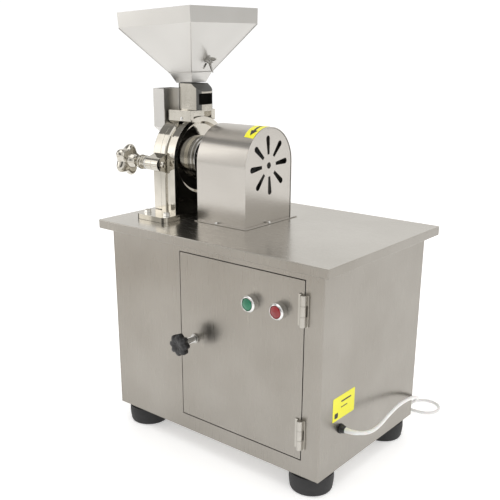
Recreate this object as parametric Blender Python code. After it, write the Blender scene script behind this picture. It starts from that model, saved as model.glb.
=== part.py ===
"""Small hammer mill on a sheet-steel cabinet: every sub-part as its own object.

Metres, +Z up, the machine's front faces -Y. The empty "machine" stands on the floor under the
middle of the cabinet, and every piece but the mains lead is placed in its frame.
"""
from math import atan2, cos, degrees, pi, radians, sin, sqrt, tau

import bmesh
import bpy
from mathutils import Matrix, Vector

for old in list(bpy.data.objects):
    bpy.data.objects.remove(old, do_unlink=True)

# ---------------------------------------------------------------- driving dimensions
GAP = 0.0003                 # clearance between faces that touch on the real machine
SHEET = 0.0015               # cabinet and guard sheet

CABINET_WIDTH = 0.500
CABINET_DEPTH = 0.337
CABINET_HEIGHT = 0.377
OVERLAP = 0.010              # how far a cutting guide runs past the face it cuts
FOOT_RADIUS = 0.041
FOOT_HEIGHT = 0.040
TABLE_THICKNESS = 0.017
TABLE_SHEET = 0.003          # under the folded edge the table is this thick
TABLE_OVERHANG = 0.020
TABLE_EDGE_LEDGE = 0.010     # solid edge inside the cabinet's walls

DOOR_LEFT = 0.180            # cabinet's left side to the door opening
DOOR_RIGHT = 0.037           # door opening to the cabinet's right side
DOOR_BOTTOM = 0.031
DOOR_TOP = 0.016
DOOR_DEPTH = 0.012           # tray door, flush with the front
DOOR_GAP = 0.0015
HINGE_HEIGHT = 0.055
HINGE_BARREL_RADIUS = 0.0055
HINGE_PIN_RADIUS = 0.0025
HINGE_LEAVES = (0.0085, 0.0125)   # reach of the cabinet's and the door's leaf, from the pin
HINGE_INSET = 0.052          # hinge middle, from the door's top or bottom edge
LATCH_FROM_EDGE = 0.037      # knob's axis from the door's free edge
LATCH_HEIGHT = 0.198         # above the cabinet's underside
KNOB_RADIUS = 0.0215
KNOB_STANDOFF = 0.033
KNOB_THICKNESS = 0.018
BUTTON_HEIGHT = 0.299
BUTTON_PLACES = {"green": 0.103, "red": 0.164}   # from the cabinet's middle, along X
BEZEL_RADIUS = 0.0148
BEZEL_DEPTH = 0.016          # how far a button stands out of the door
BUTTON_RADIUS = 0.0105
BUTTON_PROUD = 0.0015         # cap in front of its bezel

MILL_Y = 0.002               # the shaft's line, behind the cabinet's middle
MILL_X = -0.166              # rear face of the mill housing
SHAFT_HEIGHT = 0.110         # shaft above the table
SHAFT_RADIUS = 0.010
HOUSING_RADIUS = 0.080
HOUSING_LENGTH = 0.038
COVER_LENGTH = 0.022
CHAMBER_RADIUS = 0.0665
HOUSING_WALL = 0.010
COVER_WALL = 0.008
MILL_FOOT = (0.080, 0.270, 0.010)
MILL_BOLT_INSET = (0.014, 0.021)
MILL_BOLT_RADIUS = 0.0065
CLAMP_REACH = 0.095          # clamp screw's axis in front of the shaft
CLAMP_SCREW_RADIUS = 0.006
CLAMP_LUG_HEIGHT = 0.042
CLAMP_LUG_END_RADIUS = 0.013
CLAMP_DROP = 0.006           # clamp screw's axis under the shaft's level
CLAMP_NECK_LENGTH = 0.046
CLAMP_KNOB_RADIUS = 0.034
CLAMP_KNOB_THICKNESS = 0.024
SCREW_ENGAGEMENT = 0.006
COVER_HINGE_REACH = 0.094    # cover hinge's axis behind the shaft
COVER_HINGE_RADIUS = 0.008
COVER_PIN_RADIUS = 0.003
DISH_DEPTH = 0.005           # shallow dish in the housing's rear face, round the bearing
DISH_RADII = (0.043, 0.066, 0.071)
SCREEN_THICKNESS = 0.0015

ROTOR_DISC_RADIUS = 0.040
ROTOR_DISC_THICKNESS = 0.004
HAMMER_PIVOT_RADIUS = 0.030
HAMMER_PIN_RADIUS = 0.003
HAMMER_LENGTH = 0.031        # pivot to tip
HAMMER_WIDTH = 0.016
HAMMER_THICKNESS = 0.012
HAMMER_COUNT = 4
BEARING_RADIUS = 0.021
BEARING_WIDTH = 0.012
BEARING_HOUSING_RADIUS = 0.032

GUARD_LEFT = -0.115
GUARD_RIGHT = 0.005
GUARD_RADIUS = 0.071
GUARD_LIP = 0.009
SLOT_COUNT = 8
SLOT_SPAN = (0.021, 0.056)
SLOT_WIDTHS = (0.006, 0.011)

PULLEY_X = -0.050
PULLEY_WIDTH = 0.020
MILL_PULLEY_RADIUS = 0.036
MOTOR_PULLEY_RADIUS = 0.058
BELT_HEIGHT = 0.008
BELT_TOP_WIDTH = 0.0126
BELT_BOTTOM_WIDTH = 0.0074
BELT_FIT = 0.94              # belt's width as a share of its groove's
MOTOR_RADIUS = 0.062
MOTOR_AXIS_HEIGHT = 0.071
MOTOR_LENGTH = 0.190
MOTOR_FACE_X = -0.022
MOTOR_SHAFT_RADIUS = 0.0095

FEED_X = -0.192              # middle of the feed opening
FEED_OPENING = 0.030
BLOCK_SPAN = (-0.222, -0.162)
BLOCK_HALF_WIDTH = 0.036
BLOCK_TOP = 0.093            # above the shaft
POCKET_DEPTH = 0.010         # side pocket of the block
THROAT_SPAN = (-0.212, -0.150)
THROAT_HALF_WIDTH = 0.0235
THROAT_HEIGHT = 0.050
THROAT_ROUND = 0.014
WINDOW_HEIGHT = 0.028
HOPPER_LEAN = radians(2.6)   # the hopper leans outwards, away from the guard
HOPPER_SHEET = 0.0015
HOPPER_LEVELS = ((0.0, 0.0206), (0.0198, 0.0300), (0.1054, 0.0951), (0.1337, 0.0961))
GATE_HEIGHT = 0.042          # wing screw above the hopper's outlet
GATE_LENGTH = 0.046
GATE_WIDTH = 0.040
GATE_TRAVEL = 0.018
GATE_SETBACK = 0.0019        # the sloping wall's thickness, measured straight through it
STUD_RADIUS = 0.003
WING_TURN = radians(108)     # one wing points up along the hopper's wall

DUCT_SIZE = (0.030, 0.050)   # air duct on the cover, along X and Y
DUCT_FRONT = 0.043           # duct's front side, before the shaft
DUCT_TOP = 0.133             # above the shaft
DUCT_NECK = 0.026            # width of its lower end
DUCT_LEVELS = (0.058, 0.040, -0.010)   # shoulder, knee and lower end, from the shaft
DUCT_INLET = (0.022, 0.003, -0.006, 0.024)
DRAWER_SIZE = (0.150, 0.210, 0.115)
CHUTE_SIZE = (0.050, 0.090)
GLAND_PLACE = (-0.102, 0.0795)   # along Y, and above the cabinet's underside
GLAND_RADIUS = 0.009
CORD_RADIUS = 0.0035
GLAND_REACH = 0.010

# ---------------------------------------------------------------- places worked out from them
CABINET_Z = FOOT_HEIGHT
TABLE_Z = CABINET_Z + CABINET_HEIGHT + TABLE_THICKNESS
SHAFT_Z = TABLE_Z + SHAFT_HEIGHT
FRONT_Y = -CABINET_DEPTH / 2
RIGHT_X = CABINET_WIDTH / 2
PARTING_X = MILL_X - HOUSING_LENGTH
COVER_X = PARTING_X - GAP - COVER_LENGTH
DOOR_SPAN = (-RIGHT_X + DOOR_LEFT, RIGHT_X - DOOR_RIGHT)
DOOR_LEVELS = (CABINET_Z + DOOR_BOTTOM, CABINET_Z + CABINET_HEIGHT - DOOR_TOP)
CLAMP_KNOB_X = COVER_X - CLAMP_NECK_LENGTH - CLAMP_KNOB_THICKNESS
KNOB_FRONT_Y = FRONT_Y - KNOB_STANDOFF - KNOB_THICKNESS
TABLE_BACK_Y = CABINET_DEPTH / 2 + TABLE_OVERHANG
TABLE_RIGHT_X = RIGHT_X + TABLE_OVERHANG

# ---------------------------------------------------------------- tools
machine = bpy.data.objects.new("machine", None)
bpy.context.collection.objects.link(machine)
machine.location = (-(CLAMP_KNOB_X + TABLE_RIGHT_X) / 2, -(KNOB_FRONT_Y + TABLE_BACK_Y) / 2, 0)

AXES = {"X": (1, 2, 0), "Y": (0, 2, 1), "Z": (0, 1, 2)}


def material(name, colour, metallic, roughness):
    """Principled material with one colour."""
    made = bpy.data.materials.new(name)
    made.use_nodes = True
    shader = made.node_tree.nodes["Principled BSDF"]
    shader.inputs["Base Color"].default_value = (*colour, 1)
    shader.inputs["Metallic"].default_value = metallic
    shader.inputs["Roughness"].default_value = roughness
    return made


CABINET_STEEL = material("cabinet_steel", (0.66, 0.65, 0.63), 1, 0.35)
POLISHED_STEEL = material("polished_steel", (0.78, 0.77, 0.74), 1, 0.12)
SATIN_STEEL = material("satin_steel", (0.72, 0.71, 0.69), 1, 0.30)
BARE_STEEL = material("bare_steel", (0.55, 0.54, 0.52), 1, 0.40)
CAST_IRON = material("cast_iron", (0.20, 0.21, 0.22), 1, 0.60)
MOTOR_PAINT = material("motor_paint", (0.16, 0.24, 0.32), 0, 0.45)
BLACK_RUBBER = material("black_rubber", (0.025, 0.025, 0.025), 0, 0.75)
BLACK_PLASTIC = material("black_plastic", (0.03, 0.03, 0.03), 0, 0.40)
GREEN_PLASTIC = material("green_plastic", (0.02, 0.42, 0.12), 0, 0.30)
RED_PLASTIC = material("red_plastic", (0.65, 0.03, 0.03), 0, 0.30)
WHITE_PVC = material("white_pvc", (0.82, 0.82, 0.80), 0, 0.45)


def add_object(name, mesh, look, parent=machine):
    """Link a mesh as a named object; round stretches are shaded smooth."""
    made = bpy.data.objects.new(name, mesh)
    bpy.context.collection.objects.link(made)
    made.parent = parent
    if look:
        mesh.materials.append(look)
    mesh.shade_smooth()
    mesh.set_sharp_from_angle(angle=radians(32))
    return made


def mesh_from(name, verts, faces):
    """Mesh with its normals pointing out of the closed shape."""
    mesh = bpy.data.meshes.new(name)
    mesh.from_pydata(verts, [], faces)
    work = bmesh.new()
    work.from_mesh(mesh)
    bmesh.ops.recalc_face_normals(work, faces=work.faces)
    work.to_mesh(mesh)
    work.free()
    return mesh


def plate(name, outlines, axis, low, high, look, parent=machine):
    """Solid between two planes across an axis; the first outline is its edge, the rest holes."""
    first, second, across = AXES[axis]
    work = bmesh.new()
    for outline in outlines:
        ring = []
        for point in outline:
            place = [0, 0, 0]
            place[first], place[second], place[across] = point[0], point[1], low
            ring.append(work.verts.new(place))
        for start, end in zip(ring, ring[1:] + ring[:1]):
            work.edges.new((start, end))
    bmesh.ops.triangle_fill(work, use_beauty=True, edges=work.edges)
    raised = bmesh.ops.extrude_face_region(work, geom=work.faces[:])["geom"]
    shift = Vector((0, 0, 0))
    shift[across] = high - low
    bmesh.ops.translate(work, vec=shift, verts=[v for v in raised if isinstance(v, bmesh.types.BMVert)])
    bmesh.ops.recalc_face_normals(work, faces=work.faces)
    mesh = bpy.data.meshes.new(name)
    work.to_mesh(mesh)
    work.free()
    return add_object(name, mesh, look, parent)


def box(name, low, high, look, parent=machine):
    """Plain block between two corners."""
    return plate(name, [rectangle(low[0], low[1], high[0], high[1])], "Z", low[2], high[2], look, parent)


def turned(name, profile, axis, centre, look, parent=machine, segments=40):
    """Solid turned about an axis. The profile is (place along the axis, radius), on-axis at both
    ends for a solid, and a closed ring of points with no zero radius for a pipe or ring."""
    first, second, across = AXES[axis]
    verts, rings = [], []
    for along, radius in profile:
        count = 1 if radius == 0 else segments
        rings.append(range(len(verts), len(verts) + count))
        for step in range(count):
            place = [0, 0, 0]
            place[first] = centre[first] + radius * cos(tau * step / segments)
            place[second] = centre[second] + radius * sin(tau * step / segments)
            place[across] = centre[across] + along
            verts.append(place)
    hollow = profile[0][1] > 0 and profile[-1][1] > 0
    pairs = list(zip(rings, rings[1:])) + ([(rings[-1], rings[0])] if hollow else [])
    faces = []
    for one, two in pairs:
        for step in range(segments):
            after = (step + 1) % segments
            corners = (one[step % len(one)], one[after % len(one)],
                       two[after % len(two)], two[step % len(two)])
            faces.append(list(dict.fromkeys(corners)))
    return add_object(name, mesh_from(name, verts, faces), look, parent)


def loft(name, loops, look, parent=machine, joined=False):
    """Skin through loops of equally many points, with flat ends, or joined end to end."""
    count = len(loops[0])
    verts = [point for loop in loops for point in loop]
    faces = []
    rows = list(range(len(loops))) + ([0] if joined else [])
    for one, two in zip(rows, rows[1:]):
        for step in range(count):
            after = (step + 1) % count
            faces.append([one * count + step, one * count + after, two * count + after, two * count + step])
    if not joined:
        faces += [list(range(count)), [(len(loops) - 1) * count + step for step in range(count)]]
    return add_object(name, mesh_from(name, verts, faces), look, parent)


def shape(target, tool, operation):
    """Cut, join or intersect with a guide that the model itself leaves out."""
    step = target.modifiers.new(operation.lower(), "BOOLEAN")
    step.operation = operation
    step.solver = "EXACT"
    step.object = tool
    tool.hide_render = True
    tool.display_type = "WIRE"
    return target


def cut(target, tool):
    return shape(target, tool, "DIFFERENCE")


def join(target, tool):
    return shape(target, tool, "UNION")


def rectangle(left, low, right, high):
    return [(left, low), (right, low), (right, high), (left, high)]


def arc(centre, radius, start, end, steps):
    """Points along a circle from one angle in degrees to another."""
    turn = (radians(end) - radians(start)) / steps
    return [(centre[0] + radius * cos(radians(start) + turn * step),
             centre[1] + radius * sin(radians(start) + turn * step)) for step in range(steps + 1)]


def circle(centre, radius, steps=24):
    return arc(centre, radius, 0, 360, steps)[:-1]


def rounded(left, low, right, high, radius, steps=4):
    """Rectangle with round corners."""
    corners = ((right - radius, high - radius, 0), (left + radius, high - radius, 90),
               (left + radius, low + radius, 180), (right - radius, low + radius, 270))
    return [point for x, y, angle in corners for point in arc((x, y), radius, angle, angle + 90, steps)]


def tombstone(radius, bottom, middle_y=MILL_Y, steps=28):
    """Half circle over the shaft with straight sides down to a level, as (y, z)."""
    top = arc((middle_y, SHAFT_Z), radius, 0, 180, steps)
    return top + [(middle_y - radius, bottom), (middle_y + radius, bottom)]


def star(radius, depth, lobes, steps):
    """Outline of a lobed grip: the radius swells and shrinks once for each lobe."""
    points = []
    for step in range(lobes * steps):
        angle = tau * step / (lobes * steps)
        reach = radius - depth * (1 - cos(lobes * angle)) / 2
        points.append((reach * cos(angle), reach * sin(angle)))
    return points


# ---------------------------------------------------------------- cabinet and table
def build_cabinet():
    """Folded panels, each with its own openings, four rubber feet and the table top."""
    top = CABINET_Z + CABINET_HEIGHT - GAP
    opening = rectangle(DOOR_SPAN[0], DOOR_LEVELS[0], DOOR_SPAN[1], DOOR_LEVELS[1])
    front = plate("cabinet_front", [rectangle(-RIGHT_X, CABINET_Z, RIGHT_X, top), opening],
                  "Y", FRONT_Y, FRONT_Y + SHEET, CABINET_STEEL)
    flange = plate("front_flange_guide",
                   [rectangle(DOOR_SPAN[0] - SHEET, DOOR_LEVELS[0] - SHEET, DOOR_SPAN[1] + SHEET,
                              DOOR_LEVELS[1] + SHEET), opening],
                   "Y", FRONT_Y + SHEET / 2, FRONT_Y + DOOR_DEPTH, None)
    join(front, flange)
    plate("cabinet_back", [rectangle(-RIGHT_X, CABINET_Z, RIGHT_X, top)],
          "Y", -FRONT_Y - SHEET, -FRONT_Y, CABINET_STEEL)
    side_y = -FRONT_Y - SHEET - GAP
    drawer_hole = rectangle(MILL_Y - DRAWER_SIZE[1] / 2 - 2 * GAP, CABINET_Z + SHEET + GAP,
                            MILL_Y + DRAWER_SIZE[1] / 2 + 2 * GAP, drawer_top() + 2 * GAP)
    plate("cabinet_left", [rectangle(-side_y, CABINET_Z, side_y, top), drawer_hole],
          "X", -RIGHT_X, -RIGHT_X + SHEET, CABINET_STEEL)
    gland_hole = circle((GLAND_PLACE[0], CABINET_Z + GLAND_PLACE[1]), GLAND_RADIUS - 0.002 + GAP)
    plate("cabinet_right", [rectangle(-side_y, CABINET_Z, side_y, top), gland_hole],
          "X", RIGHT_X - SHEET, RIGHT_X, CABINET_STEEL)
    inside_x = RIGHT_X - SHEET - GAP
    box("cabinet_floor", (-inside_x, -side_y, CABINET_Z), (inside_x, side_y, CABINET_Z + SHEET),
        CABINET_STEEL)
    for along, across in (("left", -1), ("right", 1)):
        for depth, backwards in (("front", -1), ("rear", 1)):
            foot = (across * (RIGHT_X - FOOT_RADIUS), backwards * (-FRONT_Y - FOOT_RADIUS), 0)
            turned(f"foot_{depth}_{along}",
                   [(0, 0), (0, FOOT_RADIUS - 0.006), (0.004, FOOT_RADIUS - 0.0015),
                    (0.014, FOOT_RADIUS), (FOOT_HEIGHT - GAP, FOOT_RADIUS - 0.003),
                    (FOOT_HEIGHT - GAP, 0)], "Z", foot, BLACK_RUBBER, segments=36)


def drawer_top():
    return CABINET_Z + SHEET + 2 * GAP + DRAWER_SIZE[2]


def build_table():
    """Table top with the belt slot, the outlet under the mill and the foot bolts' holes."""
    belt_reach = MOTOR_PULLEY_RADIUS - 0.002
    belt_slot = rectangle(PULLEY_X - PULLEY_WIDTH / 2, MILL_Y - belt_reach,
                          PULLEY_X + PULLEY_WIDTH / 2, MILL_Y + belt_reach)
    outlet = rectangle(FEED_X - CHUTE_SIZE[0] / 2 + SHEET, MILL_Y - CHUTE_SIZE[1] / 2 + SHEET,
                       FEED_X + CHUTE_SIZE[0] / 2 - SHEET, MILL_Y + CHUTE_SIZE[1] / 2 - SHEET)
    table = plate("table_top", [rounded(-TABLE_RIGHT_X, -TABLE_BACK_Y, TABLE_RIGHT_X, TABLE_BACK_Y, 0.004),
                                belt_slot, outlet],
                  "Z", TABLE_Z - TABLE_THICKNESS, TABLE_Z, CABINET_STEEL)
    pocket_x, pocket_y = RIGHT_X - TABLE_EDGE_LEDGE, -FRONT_Y - TABLE_EDGE_LEDGE
    cut(table, box("table_pocket_guide", (-pocket_x, -pocket_y, TABLE_Z - TABLE_THICKNESS - OVERLAP),
                   (pocket_x, pocket_y, TABLE_Z - TABLE_SHEET), None))
    outer = rectangle(FEED_X - CHUTE_SIZE[0] / 2, MILL_Y - CHUTE_SIZE[1] / 2,
                      FEED_X + CHUTE_SIZE[0] / 2, MILL_Y + CHUTE_SIZE[1] / 2)
    plate("discharge_chute", [outer, outlet], "Z", drawer_top() + 0.012,
          TABLE_Z - TABLE_SHEET - GAP, SATIN_STEEL)


def build_drawer():
    """Open tray under the outlet, with a front that covers the opening and a finger slot."""
    drawer = empty("drawer_frame", (-RIGHT_X, MILL_Y, CABINET_Z + SHEET + 2 * GAP))
    length, width, height = DRAWER_SIZE
    tray = box("drawer", (-0.0005, -width / 2 + GAP, 0), (length, width / 2 - GAP, height),
               SATIN_STEEL, drawer)
    join(tray, box("drawer_front_guide", (-SHEET - GAP, -width / 2 - 0.008, 0),
                   (-GAP, width / 2 + 0.008, height + 0.008), None, drawer))
    cut(tray, box("drawer_inside_guide", (SHEET, -width / 2 + SHEET, SHEET),
                  (length - SHEET, width / 2 - SHEET, height + 0.02), None, drawer))
    slot_low, slot_high = 0.071, 0.094
    cut(tray, plate("drawer_slot_guide", [rounded(-0.035, slot_low, 0.035, slot_high, 0.009)],
                    "X", -OVERLAP, OVERLAP, None, drawer))


def empty(name, place, rotation=(0, 0, 0), parent=machine):
    """Empty that carries a moving group; its origin is on the group's joint axis."""
    made = bpy.data.objects.new(name, None)
    bpy.context.collection.objects.link(made)
    made.parent = parent
    made.location = place
    made.rotation_euler = rotation
    return made


# ---------------------------------------------------------------- door
def build_door():
    """Tray door on two barrel hinges, with a star knob, a latch bar and two push buttons."""
    hinge_x = DOOR_SPAN[1]
    hinge_y = FRONT_Y - HINGE_BARREL_RADIUS
    frame = empty("door_frame", (hinge_x, hinge_y, 0))
    left = DOOR_SPAN[0] + DOOR_GAP - hinge_x
    low, high = DOOR_LEVELS[0] + DOOR_GAP, DOOR_LEVELS[1] - DOOR_GAP
    right = -DOOR_GAP
    face = FRONT_Y - hinge_y
    knob_x = DOOR_SPAN[0] + LATCH_FROM_EDGE - hinge_x
    knob_z = CABINET_Z + LATCH_HEIGHT
    holes = [circle((knob_x, knob_z), 0.005 + GAP)]
    holes += [circle((x - hinge_x, CABINET_Z + BUTTON_HEIGHT), 0.011 + GAP) for x in BUTTON_PLACES.values()]
    door = plate("door", [rectangle(left, low, right, high)] + holes, "Y", face, face + SHEET,
                 CABINET_STEEL, frame)
    rim = plate("door_rim_guide", [rectangle(left, low, right, high),
                                   rectangle(left + SHEET, low + SHEET, right - SHEET, high - SHEET)],
                "Y", face + SHEET / 2, face + DOOR_DEPTH, None, frame)
    join(door, rim)
    for name, middle in (("lower", DOOR_LEVELS[0] + HINGE_INSET), ("upper", DOOR_LEVELS[1] - HINGE_INSET)):
        build_hinge(name, middle, frame)
    build_latch(frame, knob_x, knob_z, face)
    for colour, place in BUTTON_PLACES.items():
        build_button(colour, place - hinge_x, CABINET_Z + BUTTON_HEIGHT, face, frame)


def build_hinge(name, middle, frame):
    """Barrel hinge: two outer knuckles and the pin on the cabinet, the middle one on the door."""
    third = HINGE_HEIGHT / 3
    low = middle - HINGE_HEIGHT / 2
    barrel, pin = HINGE_BARREL_RADIUS, HINGE_PIN_RADIUS
    leaf_sheet = 0.002
    hinge_x, hinge_y = DOOR_SPAN[1], FRONT_Y - HINGE_BARREL_RADIUS
    here = (hinge_x, hinge_y, low)
    fixed = turned(f"hinge_{name}_fixed",
                   [(0, 0), (0, barrel), (third - GAP, barrel), (third - GAP, pin), (2 * third + GAP, pin),
                    (2 * third + GAP, barrel), (3 * third, barrel), (3 * third, 0)],
                   "Z", here, POLISHED_STEEL, segments=24)
    for number, start in enumerate((0, 2 * third + GAP)):
        join(fixed, box(f"hinge_{name}_leaf_guide_{number}",
                        (hinge_x + pin + 0.001, FRONT_Y - GAP - leaf_sheet, low + start),
                        (hinge_x + HINGE_LEAVES[0], FRONT_Y - GAP, low + start + third - GAP), None))
    join(fixed, box(f"hinge_{name}_plate_guide",
                    (hinge_x + barrel + 0.001, FRONT_Y - GAP - leaf_sheet, low),
                    (hinge_x + HINGE_LEAVES[0], FRONT_Y - GAP, low + HINGE_HEIGHT), None))
    moving = turned(f"hinge_{name}_moving",
                    [(third, pin + GAP), (third, barrel), (2 * third, barrel), (2 * third, pin + GAP)],
                    "Z", (0, 0, low), POLISHED_STEEL, frame, segments=24)
    face = HINGE_BARREL_RADIUS - GAP
    join(moving, box(f"hinge_{name}_arm_guide", (-HINGE_LEAVES[1], face - leaf_sheet, low + third),
                     (-pin - 0.001, face, low + 2 * third), None, frame))
    join(moving, box(f"hinge_{name}_door_plate_guide", (-HINGE_LEAVES[1], face - leaf_sheet, low),
                     (-barrel - 0.001, face, low + HINGE_HEIGHT), None, frame))


def build_latch(frame, knob_x, knob_z, face):
    """Star knob in front of the door and its latch bar behind it, on one axis along Y."""
    latch = empty("latch_frame", (knob_x, 0, knob_z), parent=frame)
    front = face - KNOB_STANDOFF
    plate("door_knob", [star(KNOB_RADIUS, 0.004, 8, 8)], "Y", front - KNOB_THICKNESS, front,
          BLACK_PLASTIC, latch)
    stem = turned("latch_stem", [(front + GAP, 0), (front + GAP, 0.0045), (face - GAP - 0.003, 0.0045),
                                 (face - GAP - 0.003, 0.009), (face - GAP, 0.009), (face - GAP, 0.005),
                                 (face + DOOR_DEPTH + 0.006, 0.005), (face + DOOR_DEPTH + 0.006, 0)],
                  "Y", (0, 0, 0), BARE_STEEL, latch, segments=24)
    bar_y = face + DOOR_DEPTH + 0.001
    join(stem, box("latch_bar_guide", (-0.008, bar_y, -0.008),
                   (0.008, bar_y + 0.003, LATCH_FROM_EDGE + 0.008), None, latch))


def build_button(colour, x, z, face, frame):
    """Chrome bezel with its threaded body behind the door, and the cap that slides in it."""
    look = GREEN_PLASTIC if colour == "green" else RED_PLASTIC
    bore = BUTTON_RADIUS + GAP
    turned(f"{colour}_bezel",
           [(face - BEZEL_DEPTH, bore), (face - BEZEL_DEPTH, BEZEL_RADIUS - 0.0025),
            (face - BEZEL_DEPTH + 0.0025, BEZEL_RADIUS),
            (face - GAP, BEZEL_RADIUS), (face - GAP, bore + 0.0004),
            (face + 0.004, bore + 0.0004), (face + 0.004, bore)],
           "Y", (x, 0, z), POLISHED_STEEL, frame)
    button = empty(f"{colour}_button_frame", (x, face, z), parent=frame)
    reach = BEZEL_DEPTH + BUTTON_PROUD
    turned(f"{colour}_button",
           [(-reach, 0), (-reach, BUTTON_RADIUS - 0.002), (0.0015 - reach, BUTTON_RADIUS),
            (0.0005, BUTTON_RADIUS), (0.0005, 0.006), (0.030, 0.006), (0.030, 0)],
           "Y", (0, 0, 0), look, button)


# ---------------------------------------------------------------- mill housing and cover
def build_housing():
    """Cast housing: a stepped tombstone on a foot, with the chamber, feed and outlet cut in."""
    bottom = TABLE_Z + GAP + MILL_FOOT[2] / 2
    groove = 0.004
    steps = ((PARTING_X, 0), (PARTING_X + 0.011, 0), (PARTING_X + 0.013, groove),
             (MILL_X - 0.015, groove), (MILL_X - 0.013, 0), (MILL_X, 0))
    loops = [[(x, y, z) for y, z in tombstone(HOUSING_RADIUS - inset, bottom)] for x, inset in steps]
    body = loft("mill_housing", loops, POLISHED_STEEL)
    foot_x = MILL_X - HOUSING_LENGTH / 2 + 0.002
    length, width, height = MILL_FOOT
    foot = rounded(foot_x - length / 2, MILL_Y - width / 2, foot_x + length / 2, MILL_Y + width / 2, 0.012)
    join(body, plate("housing_foot_guide", [foot], "Z", TABLE_Z + GAP, TABLE_Z + GAP + height, None))
    join(body, plate("clamp_lug_guide", [clamp_lug()], "X", PARTING_X, PARTING_X + 0.018, None))
    for number, side in enumerate((-1, 1)):
        join(body, plate(f"hinge_lug_guide_{number}", [hinge_lug(PARTING_X + 0.0005, 1)], "Z",
                         SHAFT_Z + side * 0.022 - 0.010, SHAFT_Z + side * 0.022 + 0.010, None))
    centre = (0, MILL_Y, SHAFT_Z)
    hub, floor_edge, rim = DISH_RADII
    cut(body, turned("dish_guide", [(MILL_X - DISH_DEPTH, hub), (MILL_X - DISH_DEPTH, floor_edge),
                                    (MILL_X + DISH_DEPTH, 2 * rim - floor_edge), (MILL_X + DISH_DEPTH, hub)],
                     "X", centre, None, segments=60))
    cut(body, turned("chamber_guide", [(PARTING_X - 0.01, 0), (PARTING_X - 0.01, CHAMBER_RADIUS),
                                       (MILL_X - HOUSING_WALL, CHAMBER_RADIUS), (MILL_X - HOUSING_WALL, 0)],
                     "X", centre, None, segments=56))
    cut(body, turned("shaft_hole_guide", [(MILL_X - 0.03, 0), (MILL_X - 0.03, SHAFT_RADIUS + 0.001),
                                          (MILL_X + 0.01, SHAFT_RADIUS + 0.001), (MILL_X + 0.01, 0)],
                     "X", centre, None, segments=32))
    half = FEED_OPENING / 2
    cut(body, box("feed_hole_guide", (PARTING_X + 0.004, MILL_Y - half, SHAFT_Z + CHAMBER_RADIUS * 0.6),
                  (MILL_X - HOUSING_WALL - 0.002, MILL_Y + half, SHAFT_Z + HOUSING_RADIUS + 0.02), None))
    cut(body, box("outlet_hole_guide", (PARTING_X + 0.004, MILL_Y - 0.040, TABLE_Z - 0.01),
                  (MILL_X - HOUSING_WALL - 0.002, MILL_Y + 0.040, SHAFT_Z - CHAMBER_RADIUS * 0.6), None))
    loose_bore = CLAMP_SCREW_RADIUS + 0.0013
    cut(body, turned("clamp_hole_guide", [(PARTING_X - OVERLAP, 0), (PARTING_X - OVERLAP, loose_bore),
                                          (PARTING_X + 0.03, loose_bore), (PARTING_X + 0.03, 0)],
                     "X", (0, MILL_Y - CLAMP_REACH, clamp_z()), None, segments=24))
    pin = hinge_axis()
    pin_bore = COVER_PIN_RADIUS + GAP
    cut(body, turned("hinge_hole_guide", [(-0.05, 0), (-0.05, pin_bore), (0.05, pin_bore), (0.05, 0)],
                     "Z", (pin[0], pin[1], SHAFT_Z), None, segments=24))
    for number, (x, y) in enumerate(foot_bolts()):
        cut(body, turned(f"foot_hole_guide_{number}",
                         [(-0.02, 0), (-0.02, 0.0045), (0.02, 0.0045), (0.02, 0)],
                         "Z", (x, y, TABLE_Z), None, segments=20))
        turned(f"foot_bolt_{number + 1}",
               [(GAP, 0), (GAP, 0.0040), (height + 2 * GAP, 0.0040), (height + 2 * GAP, MILL_BOLT_RADIUS),
                (height + 0.0035, MILL_BOLT_RADIUS), (height + 0.0060, MILL_BOLT_RADIUS * 0.75),
                (height + 0.0070, MILL_BOLT_RADIUS * 0.35), (height + 0.0072, 0)],
               "Z", (x, y, TABLE_Z), POLISHED_STEEL, segments=24)


def foot_bolts():
    """The four foot bolts' places."""
    x = MILL_X - HOUSING_LENGTH / 2 + 0.002
    reach_x = MILL_FOOT[0] / 2 - MILL_BOLT_INSET[0]
    reach_y = MILL_FOOT[1] / 2 - MILL_BOLT_INSET[1]
    return [(x + side * reach_x, MILL_Y + end * reach_y) for side in (-1, 1) for end in (-1, 1)]


def clamp_z():
    return SHAFT_Z - CLAMP_DROP


def clamp_lug():
    """Lug in front of the housing wall, round at its outer end, as (y, z)."""
    half = CLAMP_LUG_HEIGHT / 2
    outer = MILL_Y - CLAMP_REACH
    root = MILL_Y - HOUSING_RADIUS + 0.008
    end = arc((outer, clamp_z()), CLAMP_LUG_END_RADIUS, 90, 270, 10)
    return [(root, clamp_z() + half)] + end + [(root, clamp_z() - half)]


def hinge_axis():
    """The cover hinge's vertical axis, as (x, y)."""
    return PARTING_X - 0.008, MILL_Y + COVER_HINGE_REACH


def hinge_lug(face, side):
    """Lug behind the housing (side 1) or the cover (side -1), as (x, y)."""
    x, y = hinge_axis()
    radius = COVER_HINGE_RADIUS
    root = MILL_Y + HOUSING_RADIUS - 0.006
    shoulder = MILL_Y + HOUSING_RADIUS + 0.003
    if side > 0:
        return [(face, root), (face + 0.018, root), (x + radius, y)] + arc((x, y), radius, 0, 270, 12)[1:] + [
            (face, shoulder)]
    return [(face, root), (face, shoulder), (x + radius, y)] + arc((x, y), radius, 0, 180, 8)[1:] + [
        (face - 0.017, root)]


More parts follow.
